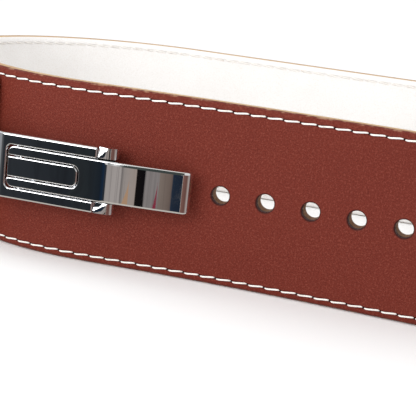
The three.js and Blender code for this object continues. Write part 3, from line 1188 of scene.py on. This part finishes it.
@dataclass
class StitchPlan:
    """Rows of slanted stitches along both edges, on both faces."""

    path: StripPath
    margin: float = 0.0041
    pitch: float = 0.0093
    gap: float = 0.001
    radius: float = 0.0005
    proud: float = 0.0003
    slant: float = 6.4
    slant_spread: float = 1.2
    proud_spread: float = 0.00006
    sunk_share: float = 0.2
    sides: int = 7
    smooth_angle: float = 60
    end_margin: float = 0.007
    tip_share: float = 0.45
    top_gap = -0.1376
    bottom_gap = -0.1276
    # Over a share of the stitch's length, how far its ends sink, turn back and taper
    sinks = ((0.41, 0.00022), (0.49, 0.0006))
    tapers = ((0.41, 0.00012, 0.95), (0.49, 0.0003, 0.6))

    def stitch(self) -> Piece:
        """Models one stitch along X at the origin, its ends drawn down along +Y.

        Returns:
            The stitch.
        """
        length = self.pitch - self.gap
        piece = cylinder("stitch", self.radius, length, self.sides, rotation=(0, math.pi / 2, 0))
        with editing(piece):
            slice_across(Axis.X, [side * length * share for share in (0.28, 0.42) for side in (-1, 1)])
            for share, sink in self.sinks:
                pick_edges(piece, lambda spot, way: abs(spot.x) > length * share and abs(way.x) < 0.1)
                push_picked((0, sink, 0))
            for side in (-1, 1):
                for share, turn_back, taper in self.tapers:
                    pick_edges(piece, lambda spot, way: side * spot.x > length * share and abs(way.x) < 0.1)
                    push_picked((0, 0, -side * turn_back))
                    end = (side * length / 2, 0, 0)
                    bpy.ops.transform.resize(value=(1, taper, taper), center_override=end)
        return piece

    def row(self, name: str, z: float, first_gap: float, face: float, inwards: float) -> Piece:
        """Copies the stitch along one row and wraps it onto the belt.

        Args:
            name: the row's name.
            z: its height on the belt.
            first_gap: the place of one of its gaps.
            face: depth of the face it lies on.
            inwards: 1 where the leather is deeper than the face, or -1.

        Returns:
            The row as one piece.
        """
        strip = self.path.strip
        model = self.stitch()
        if inwards < 0:
            model.rotation_euler.x = math.pi
            settle(model)
        dice = random.Random(name)
        start = strip.tip + self.end_margin + strip.tip_round * self.tip_share
        stop = self.path.end - self.end_margin
        count = int((stop - start) / self.pitch)
        first = math.ceil((start - first_gap) / self.pitch)
        stitches = []
        for n in range(first, first + count):
            at = first_gap + (n + 0.5) * self.pitch
            tilt = math.radians(self.slant + dice.uniform(-self.slant_spread, self.slant_spread))
            proud = self.proud + dice.uniform(-self.proud_spread, self.proud_spread)
            lift = face - inwards * (proud - self.radius * self.sunk_share)
            stitches.append(twin(model, f"{name} {n}"))
            move(stitches[-1], Matrix.Translation((at, lift, z)) @ Matrix.Rotation(-tilt, 4, "Y"))
        bpy.data.objects.remove(model, do_unlink=True)
        piece = join(stitches, name)
        self.path.wrap(piece)
        shade(piece, self.smooth_angle)
        return piece

    def build(self, look: Look) -> None:
        """Makes the four rows."""
        strip = self.path.strip
        top, bottom = strip.width - self.margin, self.margin
        for name, z, gap, face, inwards in (
            ("thread_outer_top", top, self.top_gap, 0.0, 1.0),
            ("thread_outer_bottom", bottom, self.bottom_gap, 0.0, 1.0),
            ("thread_inner_top", top, self.top_gap, strip.thickness, -1.0),
            ("thread_inner_bottom", bottom, self.bottom_gap, strip.thickness, -1.0),
        ):
            hand_over(self.row(name, z, gap, face, inwards), Body.BELT, Slot.TAN, look)


# Pieces of the buckle


@dataclass
class Buckle:
    """The steel buckle: frame, tray, tab, pin, lever, screws and nuts.

    A piece is modelled on the bench, with X along the front, Y inwards from the strap's face and Z
    about the middle of the belt's width, and is then moved into place.
    """

    path: StripPath
    sizes: BuckleSizes
    leaf: MountingLeaf
    look: Look
    soft: float = 0.0006
    lip: float = 0.00075
    bend_inner: float = 0.0012
    fold_round: float = 0.0012
    window_round: float = 0.0026
    arm_round: float = 0.0035
    top_facet: float = 0.0018
    low_facet: float = 0.0012
    facet_slope: float = 0.26
    lug_droop: float = 0.0009
    lug_bar: float = 0.0018
    lug_edge: float = 0.001
    lug_steps: int = 6
    lug_overlap: float = 0.0001
    upper_lean: float = 0.25
    lower_lean: float = 0.1
    lug_slope: float = 0.35
    facet_size: float = 0.02
    pin_dome: float = 0.35
    screw_soft: float = 0.00012
    nut_seat: float = 0.0003
    # Half the length and the width of the screw's groove, the height of its floor and of its cutter
    groove = (0.0045, 0.0006, 0.0009, 0.003)
    underside_lip: float = 0.0004
    droop_steps: int = 12
    corner_steps: int = 6
    leaf_corner: float = 0.007
    tool_corner: float = 0.0005
    window_past: float = 0.01
    slot_past: float = 0.005
    drill_radius: float = 0.0028
    drill_length: float = 0.02
    round_sides: int = 32
    # In from the prong's radius and up from its end
    prong_end = ((0.002, 0), (0.0012, 0.0003), (0.0004, 0.0012), (0, 0.0022))
    # Radius and height of the screw's shank, of its head over the plate, and of the nut over its inner face
    shank = ((0, -0.0075), (0.0021, -0.0075), (0.0025, -0.0071))
    head = (
        *((0.0025, 0), (0.0049, 0), (0.005, 0.0003), (0.0047, 0.0009), (0.0038, 0.0015)),
        *((0.0025, 0.0019), (0.0012, 0.002), (0, 0.002)),
    )
    flange = ((0, 0), (0.006, 0), (0.0065, 0.0004), (0.0065, 0.0012), (0.0039, 0.0012))
    barrel = ((0.0039, -0.0003), (0.0028, -0.0003))
    barrel_floor = ((0.0028, 0.0012), (0, 0.0012))

    def place(self, piece: Piece) -> None:
        """Moves a piece from the bench to its place on the belt."""
        piece.location = (self.path.shift.x, self.path.shift.y, self.sizes.strip.middle)
        settle(piece)

    def done(self, piece: Piece, body: Body, *nodes: str) -> None:
        """Places, shades and hands over a steel piece."""
        self.place(piece)
        shade(piece)
        hand_over(piece, body, Slot.STEEL, self.look, *nodes)

    def slot_tool(self, left: float, right: float, half: float, corner: float) -> Piece:
        """Makes a cutter that is rounded at its right end.

        Args:
            left: its left end.
            right: its right end.
            half: half its width.
            corner: radius of its right corners.

        Returns:
            The cutter, standing through the buckle.
        """
        deep = 2 * self.sizes.frame_top
        tool = block("slot tool", (left, -deep, -half), (right, 0, half))
        with editing(tool):
            pick_edges(tool, lambda spot, way: abs(spot.x - right) < TINY and abs(way.y) > ALONG)
            round_picked(corner, self.corner_steps)
        return tool

    def rod(self, name: str, radius: float, half: float) -> Piece:
        """Adds a plain rod on the hinge's axis."""
        s = self.sizes
        return cylinder(name, radius, 2 * half, self.round_sides, location=(s.pin_x, -s.pin_out, 0))

    def bore(self, piece: Piece) -> None:
        """Drills a piece along the hinge's axis."""
        s = self.sizes
        combine(piece, self.rod("bore", s.pin_radius + s.pin_play, s.frame_half), "DIFFERENCE")

    def frame_plate(self) -> None:
        """Makes the window frame with folded sides, bent into its mounting leaf."""
        s = self.sizes
        turn = self.leaf.start
        inside = s.frame_sheet - s.frame_top
        ease = self.bend_inner * math.tan(turn / 2)
        left = s.frame_left + ease
        low, high = (left, -s.frame_top, -s.frame_half), (s.frame_right, inside, s.frame_half)
        plate = block("buckle_frame", low, high)
        fold, folded = s.frame_half - s.flange_wall, s.frame_left + s.frame_sheet
        with editing(plate):
            pick_edges(plate, lambda spot, way: spot.y < TINY - s.frame_top and abs(way.x) > ALONG)
            round_picked(self.fold_round, 4)
            slice_across(Axis.Z, [-fold, fold])
            slice_across(Axis.X, [folded])
            pick_faces(plate, lambda spot, way: way.y > ALONG and abs(spot.z) > fold and spot.x > folded)
            pull_out((0, s.frame_flange - s.frame_sheet, 0))
            pick_faces(plate, lambda spot, way: way.x < -ALONG and spot.x < left + TINY)
            pivot = (left, inside + self.bend_inner, 0)
            sweep_round(-turn, pivot, 5)
            heading = Vector((-math.cos(turn), math.sin(turn), 0))
            pick_faces(plate, lambda spot, way: way.dot(heading) > CLOSELY and spot.x < left)
            run = self.leaf.straight - ease
            pull_out(tuple(heading * run))
            centre = (self.path.centre.x, self.path.centre.y, 0)
            reach = s.leaf_length / self.leaf.radius
            pick_faces(plate, lambda spot, way: way.dot(heading) > CLOSELY and spot.x < left - run * 0.8)
            sweep_round(-reach, centre, 8)
            last = Vector((-math.cos(turn + reach), math.sin(turn + reach), 0))
            across = Vector((last.y, -last.x, 0))
            pick_edges(
                plate,
                lambda spot, way: abs(way.dot(across)) > CLOSELY
                and abs(abs(spot.z) - s.frame_half) < TINY
                and spot.x < left - run - s.leaf_length * 0.8,
            )
            round_picked(self.leaf_corner, self.corner_steps)
            tidy_shell()
        edge = s.frame_left + s.crosspiece
        tool = self.slot_tool(edge, s.frame_right + self.window_past, s.window_half, self.tool_corner)
        with editing(tool):
            pick_edges(tool, lambda spot, way: abs(spot.x - edge) < TINY and abs(way.y) > ALONG)
            round_picked(self.window_round, self.corner_steps)
        combine(plate, tool, "DIFFERENCE")
        with editing(plate):
            bpy.ops.mesh.select_all(action="SELECT")
            bpy.ops.mesh.dissolve_limited(angle_limit=FLAT_ANGLE)
            pick_edges(
                plate,
                lambda spot, way: spot.y < TINY - s.frame_top
                and abs(spot.z) < s.window_half + TINY
                and edge - TINY < spot.x < s.frame_right - TINY,
            )
            round_picked(self.lip, 3)
        soften(plate, self.soft)
        bench = Matrix.Translation((-self.path.shift.x, -self.path.shift.y, -s.strip.middle))
        drills = []
        for at, z in self.leaf.screw_places():
            drills.append(cylinder("drill", self.drill_radius, self.drill_length, 24))
            move(drills[-1], bench @ self.path.stand(at, z))
        combine(plate, join(drills, "drills"), "DIFFERENCE")
        self.done(plate, Body.BELT, "frame_plate")

    def tray(self) -> None:
        """Makes the tray: floor, two rails that carry the pin, and a rounded lug at the end of each."""
        s = self.sizes
        left = s.pin_x - s.tray_past_pin
        right = s.frame_right + s.lug_length - s.lug_round
        floor, clear = s.tray_clear + s.tray_floor, s.tray_clear
        inner = s.window_half + s.seat
        tray = block("buckle_tray", (left, -floor, -s.rail_outer), (right, -clear, s.rail_outer))
        with editing(tray):
            slice_across(Axis.Z, [-inner, inner])
            pick_faces(tray, lambda spot, way: way.y < -ALONG and abs(spot.z) > inner)
            pull_out((0, floor - s.rail_top, 0))
        for side in (-1, 1):
            combine(tray, self.lug(side, inner), "UNION")
        self.bore(tray)
        soften(tray, self.soft * 0.8)
        self.done(tray, Body.BELT, "base_tray")

    def lug(self, side: int, inner: float) -> Piece:
        """Makes the lug at one rail's right end: drooping, rounded over its end, with a facet cut off.

        Args:
            side: 1 for the upper lug, or -1.
            inner: half the width between the rails.

        Returns:
            The lug.
        """
        s = self.sizes
        start, end = s.frame_right + s.seat, s.frame_right + s.lug_length
        top, reach = s.frame_top - s.lug_drop, s.lug_length - s.seat
        near, far = sorted((side * (inner - self.lug_overlap), side * s.frame_half))
        lug = block("lug", (start, -top, near), (end, s.lug_depth - top, far))

        def droop(spot: Vector) -> float:
            """How far the lug's top has drooped at a point."""
            share = (spot.x - start) / reach
            return self.lug_droop * (3 * share + share * share) / 4 if spot.y < TINY - top else 0.0

        with editing(lug):
            slice_across(Axis.X, [start + reach * n / self.lug_steps for n in range(1, self.lug_steps - 1)])
            sink_points(lug, droop)
            pick_edges(
                lug,
                lambda spot, way: spot.x > end - TINY
                and spot.y < -top + self.lug_droop + TINY
                and abs(way.z) > ALONG,
            )
            round_picked(s.lug_round, self.corner_steps)
        line, lean = inner + self.lug_edge, self.upper_lean
        if side < 0:
            line, lean = self.lug_bar - s.frame_half, self.lower_lean
        size = self.facet_size
        facet = block("facet", (-size, -size, 0), (size, size, size))
        slope = Vector((-lean, -1, self.lug_slope)).to_track_quat("Z", "Y").to_matrix().to_4x4()
        move(facet, Matrix.Translation((start, -top, line)) @ slope)
        combine(lug, facet, "DIFFERENCE")
        return lug

    def on_tongue(self, spot: Vector, way: Vector, line: float) -> bool:
        """Whether an edge runs along the tongue's face on a line."""
        s = self.sizes
        return (
            spot.x > s.knee_at + TINY
            and spot.y < s.drop(spot.x) - s.frame_top + s.lever_sheet / 2
            and abs(spot.z - line) < TINY
            and abs(way.x) > ALONG
        )

    def tab(self) -> None:
        """Makes the fixed tab that fills the lever's slot."""
        s = self.sizes
        half = s.slot_half - s.lever_gap
        right = s.slot_right - s.lever_gap
        floor = s.tray_clear + s.tray_floor + s.seat
        tab = block("slot_tab", (s.lever_left, -s.frame_top, -half), (right, -floor, half))
        with editing(tab):
            pick_edges(tab, lambda spot, way: abs(spot.x - right) < TINY and abs(way.y) > ALONG)
            round_picked(s.slot_round - s.lever_gap, self.corner_steps)
        self.bore(tab)
        soften(tab, self.lip)
        self.done(tab, Body.BELT, "inner_tab")

    def pin(self) -> None:
        """Makes the hinge pin with domed ends."""
        s = self.sizes
        half, radius = s.rail_outer, s.pin_radius
        deep, turns = radius * self.pin_dome, (0, 0.5, 1.0, 1.35, 1.57)
        dome = [(radius * math.sin(turn), half - deep * (1 - math.cos(turn))) for turn in turns]
        profile = [(r, -h) for r, h in dome] + [(r, h) for r, h in reversed(dome)]
        pin = turned("pin_rod", profile, 28)
        pin.location = (s.pin_x, -s.pin_out, 0)
        settle(pin)
        self.done(pin, Body.BELT, "hinge_pin")

    def lever(self) -> None:
        """Makes the hook lever: slotted arms, drooping tongue, turned-down tip, knuckles and prong."""
        s = self.sizes
        half = s.lever_half
        lever = block(
            "lever_hook", (s.lever_left, -s.frame_top, -half), (s.tip_at, s.lever_sheet - s.frame_top, half)
        )
        with editing(lever):
            pick_edges(lever, lambda spot, way: spot.x < s.lever_left + TINY and abs(way.y) > ALONG)
            round_picked(self.arm_round, 5)
        slot = self.slot_tool(s.lever_left - self.slot_past, s.slot_right, s.slot_half, s.slot_round)
        combine(lever, slot, "DIFFERENCE")
        lines = (self.low_facet - half, half - self.top_facet)

        def droop(spot: Vector) -> float:
            """How far the tongue's face or a facet beside it has drooped at a point."""
            if spot.x <= s.knee_at + TINY:
                return 0.0
            past = max(lines[0] - spot.z, spot.z - lines[1], 0)
            return s.drop(spot.x) + past * self.facet_slope

        with editing(lever):
            tidy_shell()
            bpy.ops.mesh.dissolve_limited(angle_limit=FLAT_ANGLE)
            rims = ((-s.frame_top, self.lip, 3), (s.lever_sheet - s.frame_top, self.underside_lip, 2))
            for level, width, steps in rims:
                pick_edges(lever, lambda spot, way: abs(spot.y - level) < TINY and spot.x < s.tip_at - TINY)
                round_picked(width, steps)
            places = [s.knee_at + s.tongue_length * n / self.droop_steps for n in range(self.droop_steps)]
            slice_across(Axis.X, places)
            slice_across(Axis.Z, lines)
            sink_points(lever, droop)
            for line in lines:
                pick_edges(lever, lambda spot, way: self.on_tongue(spot, way, line))
                bpy.ops.mesh.mark_sharp()
            pick_faces(lever, lambda spot, way: way.x > ALONG and spot.x > s.tip_at - TINY)
            pivot = (s.tip_at, s.tip_round - s.tip_top, 0)
            sweep_round(math.pi / 2, pivot, 7)
            bend_end = s.tip_at + s.tip_round - s.lever_sheet
            pick_faces(lever, lambda spot, way: way.y > ALONG and spot.x > bend_end)
            pull_out((0, s.tip_lip, 0))
            tidy_shell()
        for side in (-1, 1):
            wide = (half - s.slot_half) / 2 - self.lip
            knuckle = self.rod("knuckle", s.pin_radius + s.pin_play + s.knuckle_wall, wide)
            move(knuckle, Matrix.Translation((0, 0, side * (half + s.slot_half) / 2)))
            combine(lever, knuckle, "UNION")
        self.bore(lever)
        reach, radius = s.prong_reach, s.prong_radius
        top = s.frame_top - s.drop(s.prong_at) - s.lever_sheet / 2
        end = [(radius - inset, rise - reach) for inset, rise in self.prong_end]
        prong = turned("prong", [(0, -reach), *end, (radius, top), (0, top)], self.round_sides)
        move(prong, Matrix.Translation((s.prong_at, 0, 0)) @ Matrix.Rotation(math.pi / 2, 4, "X"))
        combine(lever, prong, "UNION")
        self.done(lever, Body.LEVER, "hook_lever")

    def screws(self) -> None:
        """Makes the four domed screws with a slot each, and the nuts they go into."""
        s = self.sizes
        rise = s.frame_sheet + 2 * s.seat
        head = [(radius, rise + height) for radius, height in self.head]
        screw = turned("screw", [*self.shank, *head], self.round_sides)
        long, wide, floor, top = self.groove
        groove = block("groove", (-long, -wide, rise + floor), (long, wide, rise + top))
        combine(screw, groove, "DIFFERENCE")
        soften(screw, self.screw_soft, 2, 45)
        inner = self.nut_seat - s.strip.thickness
        flange, base = (
            [(radius, inner + height) for radius, height in part] for part in (self.flange, self.barrel_floor)
        )
        nut = turned("nut", [*flange, *self.barrel, *base], self.round_sides)
        dice = random.Random(4)
        for n, (at, z) in enumerate(self.leaf.screw_places(), 1):
            for model, name, node in ((screw, "leaf_screw", "mounting_screw"), (nut, "leaf_nut", "post_nut")):
                piece = twin(model, f"{name}_{n}")
                move(piece, self.path.stand(at, z) @ Matrix.Rotation(dice.uniform(0, math.pi), 4, "Z"))
                shade(piece)
                hand_over(piece, Body.BELT, Slot.STEEL, self.look, f"{node}_{n}")
        for model in (screw, nut):
            bpy.data.objects.remove(model, do_unlink=True)

    def build(self) -> None:
        """Makes every piece of the buckle."""
        self.frame_plate()
        self.tray()
        self.tab()
        self.pin()
        self.lever()
        self.screws()


# The studio


@dataclass(frozen=True)
class Band:
    """One band of the surroundings that the polished steel mirrors."""

    turn: float
    colour: Colour


def bands(*rows: tuple[float, float, float, float]) -> tuple[Band, ...]:
    """Makes bands from rows of turn, red, green and blue."""
    return tuple(Band(turn, (red, green, blue, 1)) for turn, red, green, blue in rows)


@dataclass(frozen=True)
class Sliver:
    """A narrow band that widens downwards."""

    turn: float
    spread: float
    colour: Colour


@dataclass
class Studio:
    """Pale floor, soft light, mirrored surroundings and the camera."""

    place: Spot = (0.14113, -0.75826, 0.1992)
    yaw: float = -14.34
    pitch: float = 13.23
    roll: float = 6.52
    lens: float = 107.67
    drum_radius: float = 1.5
    drum_low: float = -0.62
    drum_high: float = 2.2
    drum_sides: int = 128
    drum_skin: float = 0.001
    sill: float = 0.10
    sill_blur: float = 0.08
    sliver_foot: float = -0.32
    sliver_top: float = -0.24
    streaks: Spot = (90, 90, 2.5)
    streak_colour: Colour = (0.01, 0.01, 0.012, 1)
    floor_size: float = 40
    floor_gap: float = 0.0002
    papers: tuple[Colour, Colour] = ((0.93, 0.93, 0.93, 1), (0.95, 0.95, 0.95, 1))
    light_place: Spot = (-0.55, -0.85, 0.42)
    light_aim: Spot = (0, -0.12, 0.05)
    light_size: float = 0.6
    light_power: float = 5
    sky_strength: float = 1.08
    ceiling: Colour = (0.92, 0.90, 0.85, 1)
    ground: Colour = (0.62, 0.58, 0.52, 1)
    lower_bands: tuple[Band, ...] = bands(
        (-180, 0.75, 0.75, 0.76), (-130, 0.2, 0.2, 0.22), (-100, 0.5, 0.42, 0.38),
        (-60, 0.17, 0.08, 0.065), (-10, 0.22, 0.11, 0.09), (22, 0.026, 0.031, 0.034),
        (27.5, 0.022, 0.027, 0.030), (29.5, 0.012, 0.016, 0.021), (60, 0.07, 0.075, 0.08),
        (100, 0.13, 0.135, 0.14), (130, 0.75, 0.75, 0.76), (180, 0.75, 0.75, 0.76),
    )
    tongue_bands: tuple[Band, ...] = bands(
        (-10, 0.22, 0.11, 0.09), (-2.8, 0.26, 0.13, 0.105), (-2.55, 0.98, 0.93, 0.83),
        (-1.7, 0.98, 0.93, 0.83), (-1.55, 0.014, 0.02, 0.034), (-0.4, 0.022, 0.036, 0.06),
        (-0.25, 0.17, 0.125, 0.105), (3.3, 0.24, 0.19, 0.16), (3.45, 0.27, 0.24, 0.23),
        (7.6, 0.27, 0.24, 0.23), (7.75, 0.006, 0.005, 0.006), (10.2, 0.008, 0.006, 0.006),
        (10.35, 0.39, 0.32, 0.28), (14.2, 0.36, 0.32, 0.295), (14.35, 0.22, 0.195, 0.185),
        (14.55, 0.22, 0.195, 0.185), (14.7, 0.43, 0.385, 0.36), (18.85, 0.40, 0.36, 0.335),
        (19.05, 0.026, 0.032, 0.041), (20.0, 0.026, 0.032, 0.042), (20.8, 0.010, 0.026, 0.056),
        (22.0, 0.012, 0.018, 0.026), (22.5, 0.026, 0.031, 0.034),
    )
    slivers: tuple[Sliver, ...] = (
        Sliver(10.35, 2.0, (0.46, 0.29, 0.18, 1)),
        Sliver(4.6, 1.0, (0.26, 0.03, 0.055, 1)),
    )
    upper_bands: tuple[Band, ...] = bands(
        (-180, 0.85, 0.85, 0.86), (-8, 0.8, 0.78, 0.75), (-5, 0.055, 0.065, 0.06),
        (18.9, 0.06, 0.07, 0.065), (20.5, 0.86, 0.85, 0.82), (180, 0.85, 0.85, 0.86),
    )

    def camera(self) -> None:
        """Sets up the camera at the photograph's viewpoint."""
        yaw, pitch, roll = (math.radians(angle) for angle in (self.yaw, self.pitch, self.roll))
        ahead = Vector((math.sin(yaw) * math.cos(pitch), math.cos(yaw) * math.cos(pitch), -math.sin(pitch)))
        right = Vector((math.cos(yaw), -math.sin(yaw), 0))
        up = right.cross(ahead)
        across = right * math.cos(roll) + up * math.sin(roll)
        over = up * math.cos(roll) - right * math.sin(roll)
        data = bpy.data.cameras.new("camera")
        data.lens = self.lens
        data.sensor_width = 36
        data.clip_start, data.clip_end = 0.01, 50
        camera = bpy.data.objects.new("camera", data)
        bpy.context.collection.objects.link(camera)
        turn = Matrix((across, over, -ahead)).transposed().to_4x4()
        camera.matrix_world = Matrix.Translation(self.place) @ turn
        bpy.context.scene.camera = camera

    def floor(self) -> None:
        """Lays the pale floor."""
        bpy.ops.mesh.primitive_plane_add(size=self.floor_size, location=(0, 0, -self.floor_gap))
        floor = bpy.context.active_object
        floor.name = "floor"
        book = Nodes("paper")
        tone = book.blend(book.noise(book.places(), 3.0), *self.papers)
        floor.data.materials.append(book.finish(Base_Color=tone, Roughness=0.9, Specular_IOR_Level=0.1))
        floor.visible_glossy = False

    def ring(self, book: Nodes, angle: object, bands: Sequence[Band]) -> Socket:
        """Colours of one ring of bands.

        Args:
            book: the material's nodes.
            angle: the turn round the belt in degrees.
            bands: the bands in order.

        Returns:
            The colour.
        """
        first, last = bands[0].turn, bands[-1].turn
        ramp = book.add("ShaderNodeValToRGB")
        book.feed(ramp.inputs["Fac"], book.ramp(angle, first, last))
        stops = ramp.color_ramp.elements
        while len(stops) < len(bands):
            stops.new(0.5)
        for stop, band in zip(stops, bands):
            stop.position = (band.turn - first) / (last - first)
            stop.color = band.colour
        return ramp.outputs["Color"]

    def drum(self) -> None:
        """Stands the banded surroundings round the belt, which only mirrors show."""
        middle = (0, 0, (self.drum_low + self.drum_high) / 2)
        depth = self.drum_high - self.drum_low
        drum = cylinder(
            "surroundings", self.drum_radius, depth, self.drum_sides, location=middle, end_fill_type="NGON"
        )
        book = Nodes("surroundings")
        x, y, z = book.split(book.places())
        turn = book.math("ARCTAN2", *(book.math("MULTIPLY", part, -1.0) for part in (x, y)))
        angle = book.math("DEGREES", turn)
        rings = (self.lower_bands, self.tongue_bands, self.upper_bands)
        low, near, high = (self.ring(book, angle, bands) for bands in rings)
        beside = book.between(angle, self.tongue_bands[0].turn, self.tongue_bands[-1].turn)
        low = book.blend(beside, low, near)
        streaks = book.noise(book.stretch(book.places(), self.streaks), 1.0, 3, 0.7)
        low = book.blend(book.ramp(streaks, 0.46, 0.68, 0.0, 0.3), low, self.streak_colour)
        drop = book.ramp(z, self.sliver_foot, self.sliver_top, 1.0, 0.0)
        for sliver in self.slivers:
            edge = book.math("ADD", sliver.turn, book.math("MULTIPLY", drop, sliver.spread))
            low = book.blend(book.between(angle, sliver.turn, edge), low, sliver.colour)
        walls = book.blend(book.ramp(z, self.sill, self.sill + self.sill_blur), low, high)
        walls = book.blend(book.math("GREATER_THAN", z, self.drum_high - self.drum_skin), walls, self.ceiling)
        walls = book.blend(book.math("LESS_THAN", z, self.drum_low + self.drum_skin), walls, self.ground)
        material = book.finish(
            Base_Color=(0, 0, 0, 1),
            Specular_IOR_Level=0.0,
            Emission_Color=walls,
            Emission_Strength=1.0,
        )
        drum.data.materials.append(material)
        drum.visible_camera = drum.visible_diffuse = drum.visible_shadow = False
        drum.visible_transmission = False

    def light(self) -> None:
        """Hangs the one soft square light, in front on the left."""
        data = bpy.data.lights.new("front left", "AREA")
        data.shape = "SQUARE"
        data.size = self.light_size
        data.energy = self.light_power
        lamp = bpy.data.objects.new("front left", data)
        bpy.context.collection.objects.link(lamp)
        way = Vector(self.light_aim) - Vector(self.light_place)
        turn = way.to_track_quat("-Z", "Y").to_matrix().to_4x4()
        lamp.matrix_world = Matrix.Translation(self.light_place) @ turn
        lamp.visible_camera = False

    def sky(self) -> None:
        """Fills the studio with even pale light."""
        world = bpy.data.worlds.new("studio")
        world.use_nodes = True
        ground = world.node_tree.nodes["Background"]
        ground.inputs["Color"].default_value = (1.0, 1.0, 1.0, 1)
        ground.inputs["Strength"].default_value = self.sky_strength
        bpy.context.scene.world = world

    def build(self) -> None:
        """Sets up the whole studio."""
        self.camera()
        self.floor()
        self.drum()
        self.sky()
        self.light()
        bpy.context.scene.view_settings.view_transform = "Standard"


def main() -> None:
    """Builds the belt piece by piece around the frame."""
    logging.basicConfig(level=logging.INFO, format="%(message)s")
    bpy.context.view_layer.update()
    strip = Strip()
    sizes = BuckleSizes(strip)
    path = StripPath(strip)
    low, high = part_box("hinge_pin")
    path.shift = Vector(((low[0] + high[0]) / 2 - sizes.pin_x, (low[1] + high[1]) / 2 + sizes.pin_out))
    leaf = MountingLeaf(path, sizes)
    stitches = StitchPlan(path)
    plies = LeatherPlies(path, leaf, stitches.margin)
    Studio().build()
    red = RedLeather(strip, stitches.margin, stitches.pitch).material()
    plies.build(red, TanLeather(strip).material())
    stitches.build(WaxedThread().material())
    Buckle(path, sizes, leaf, PolishedSteel().material()).build()


if __name__ == "__main__":
    main()
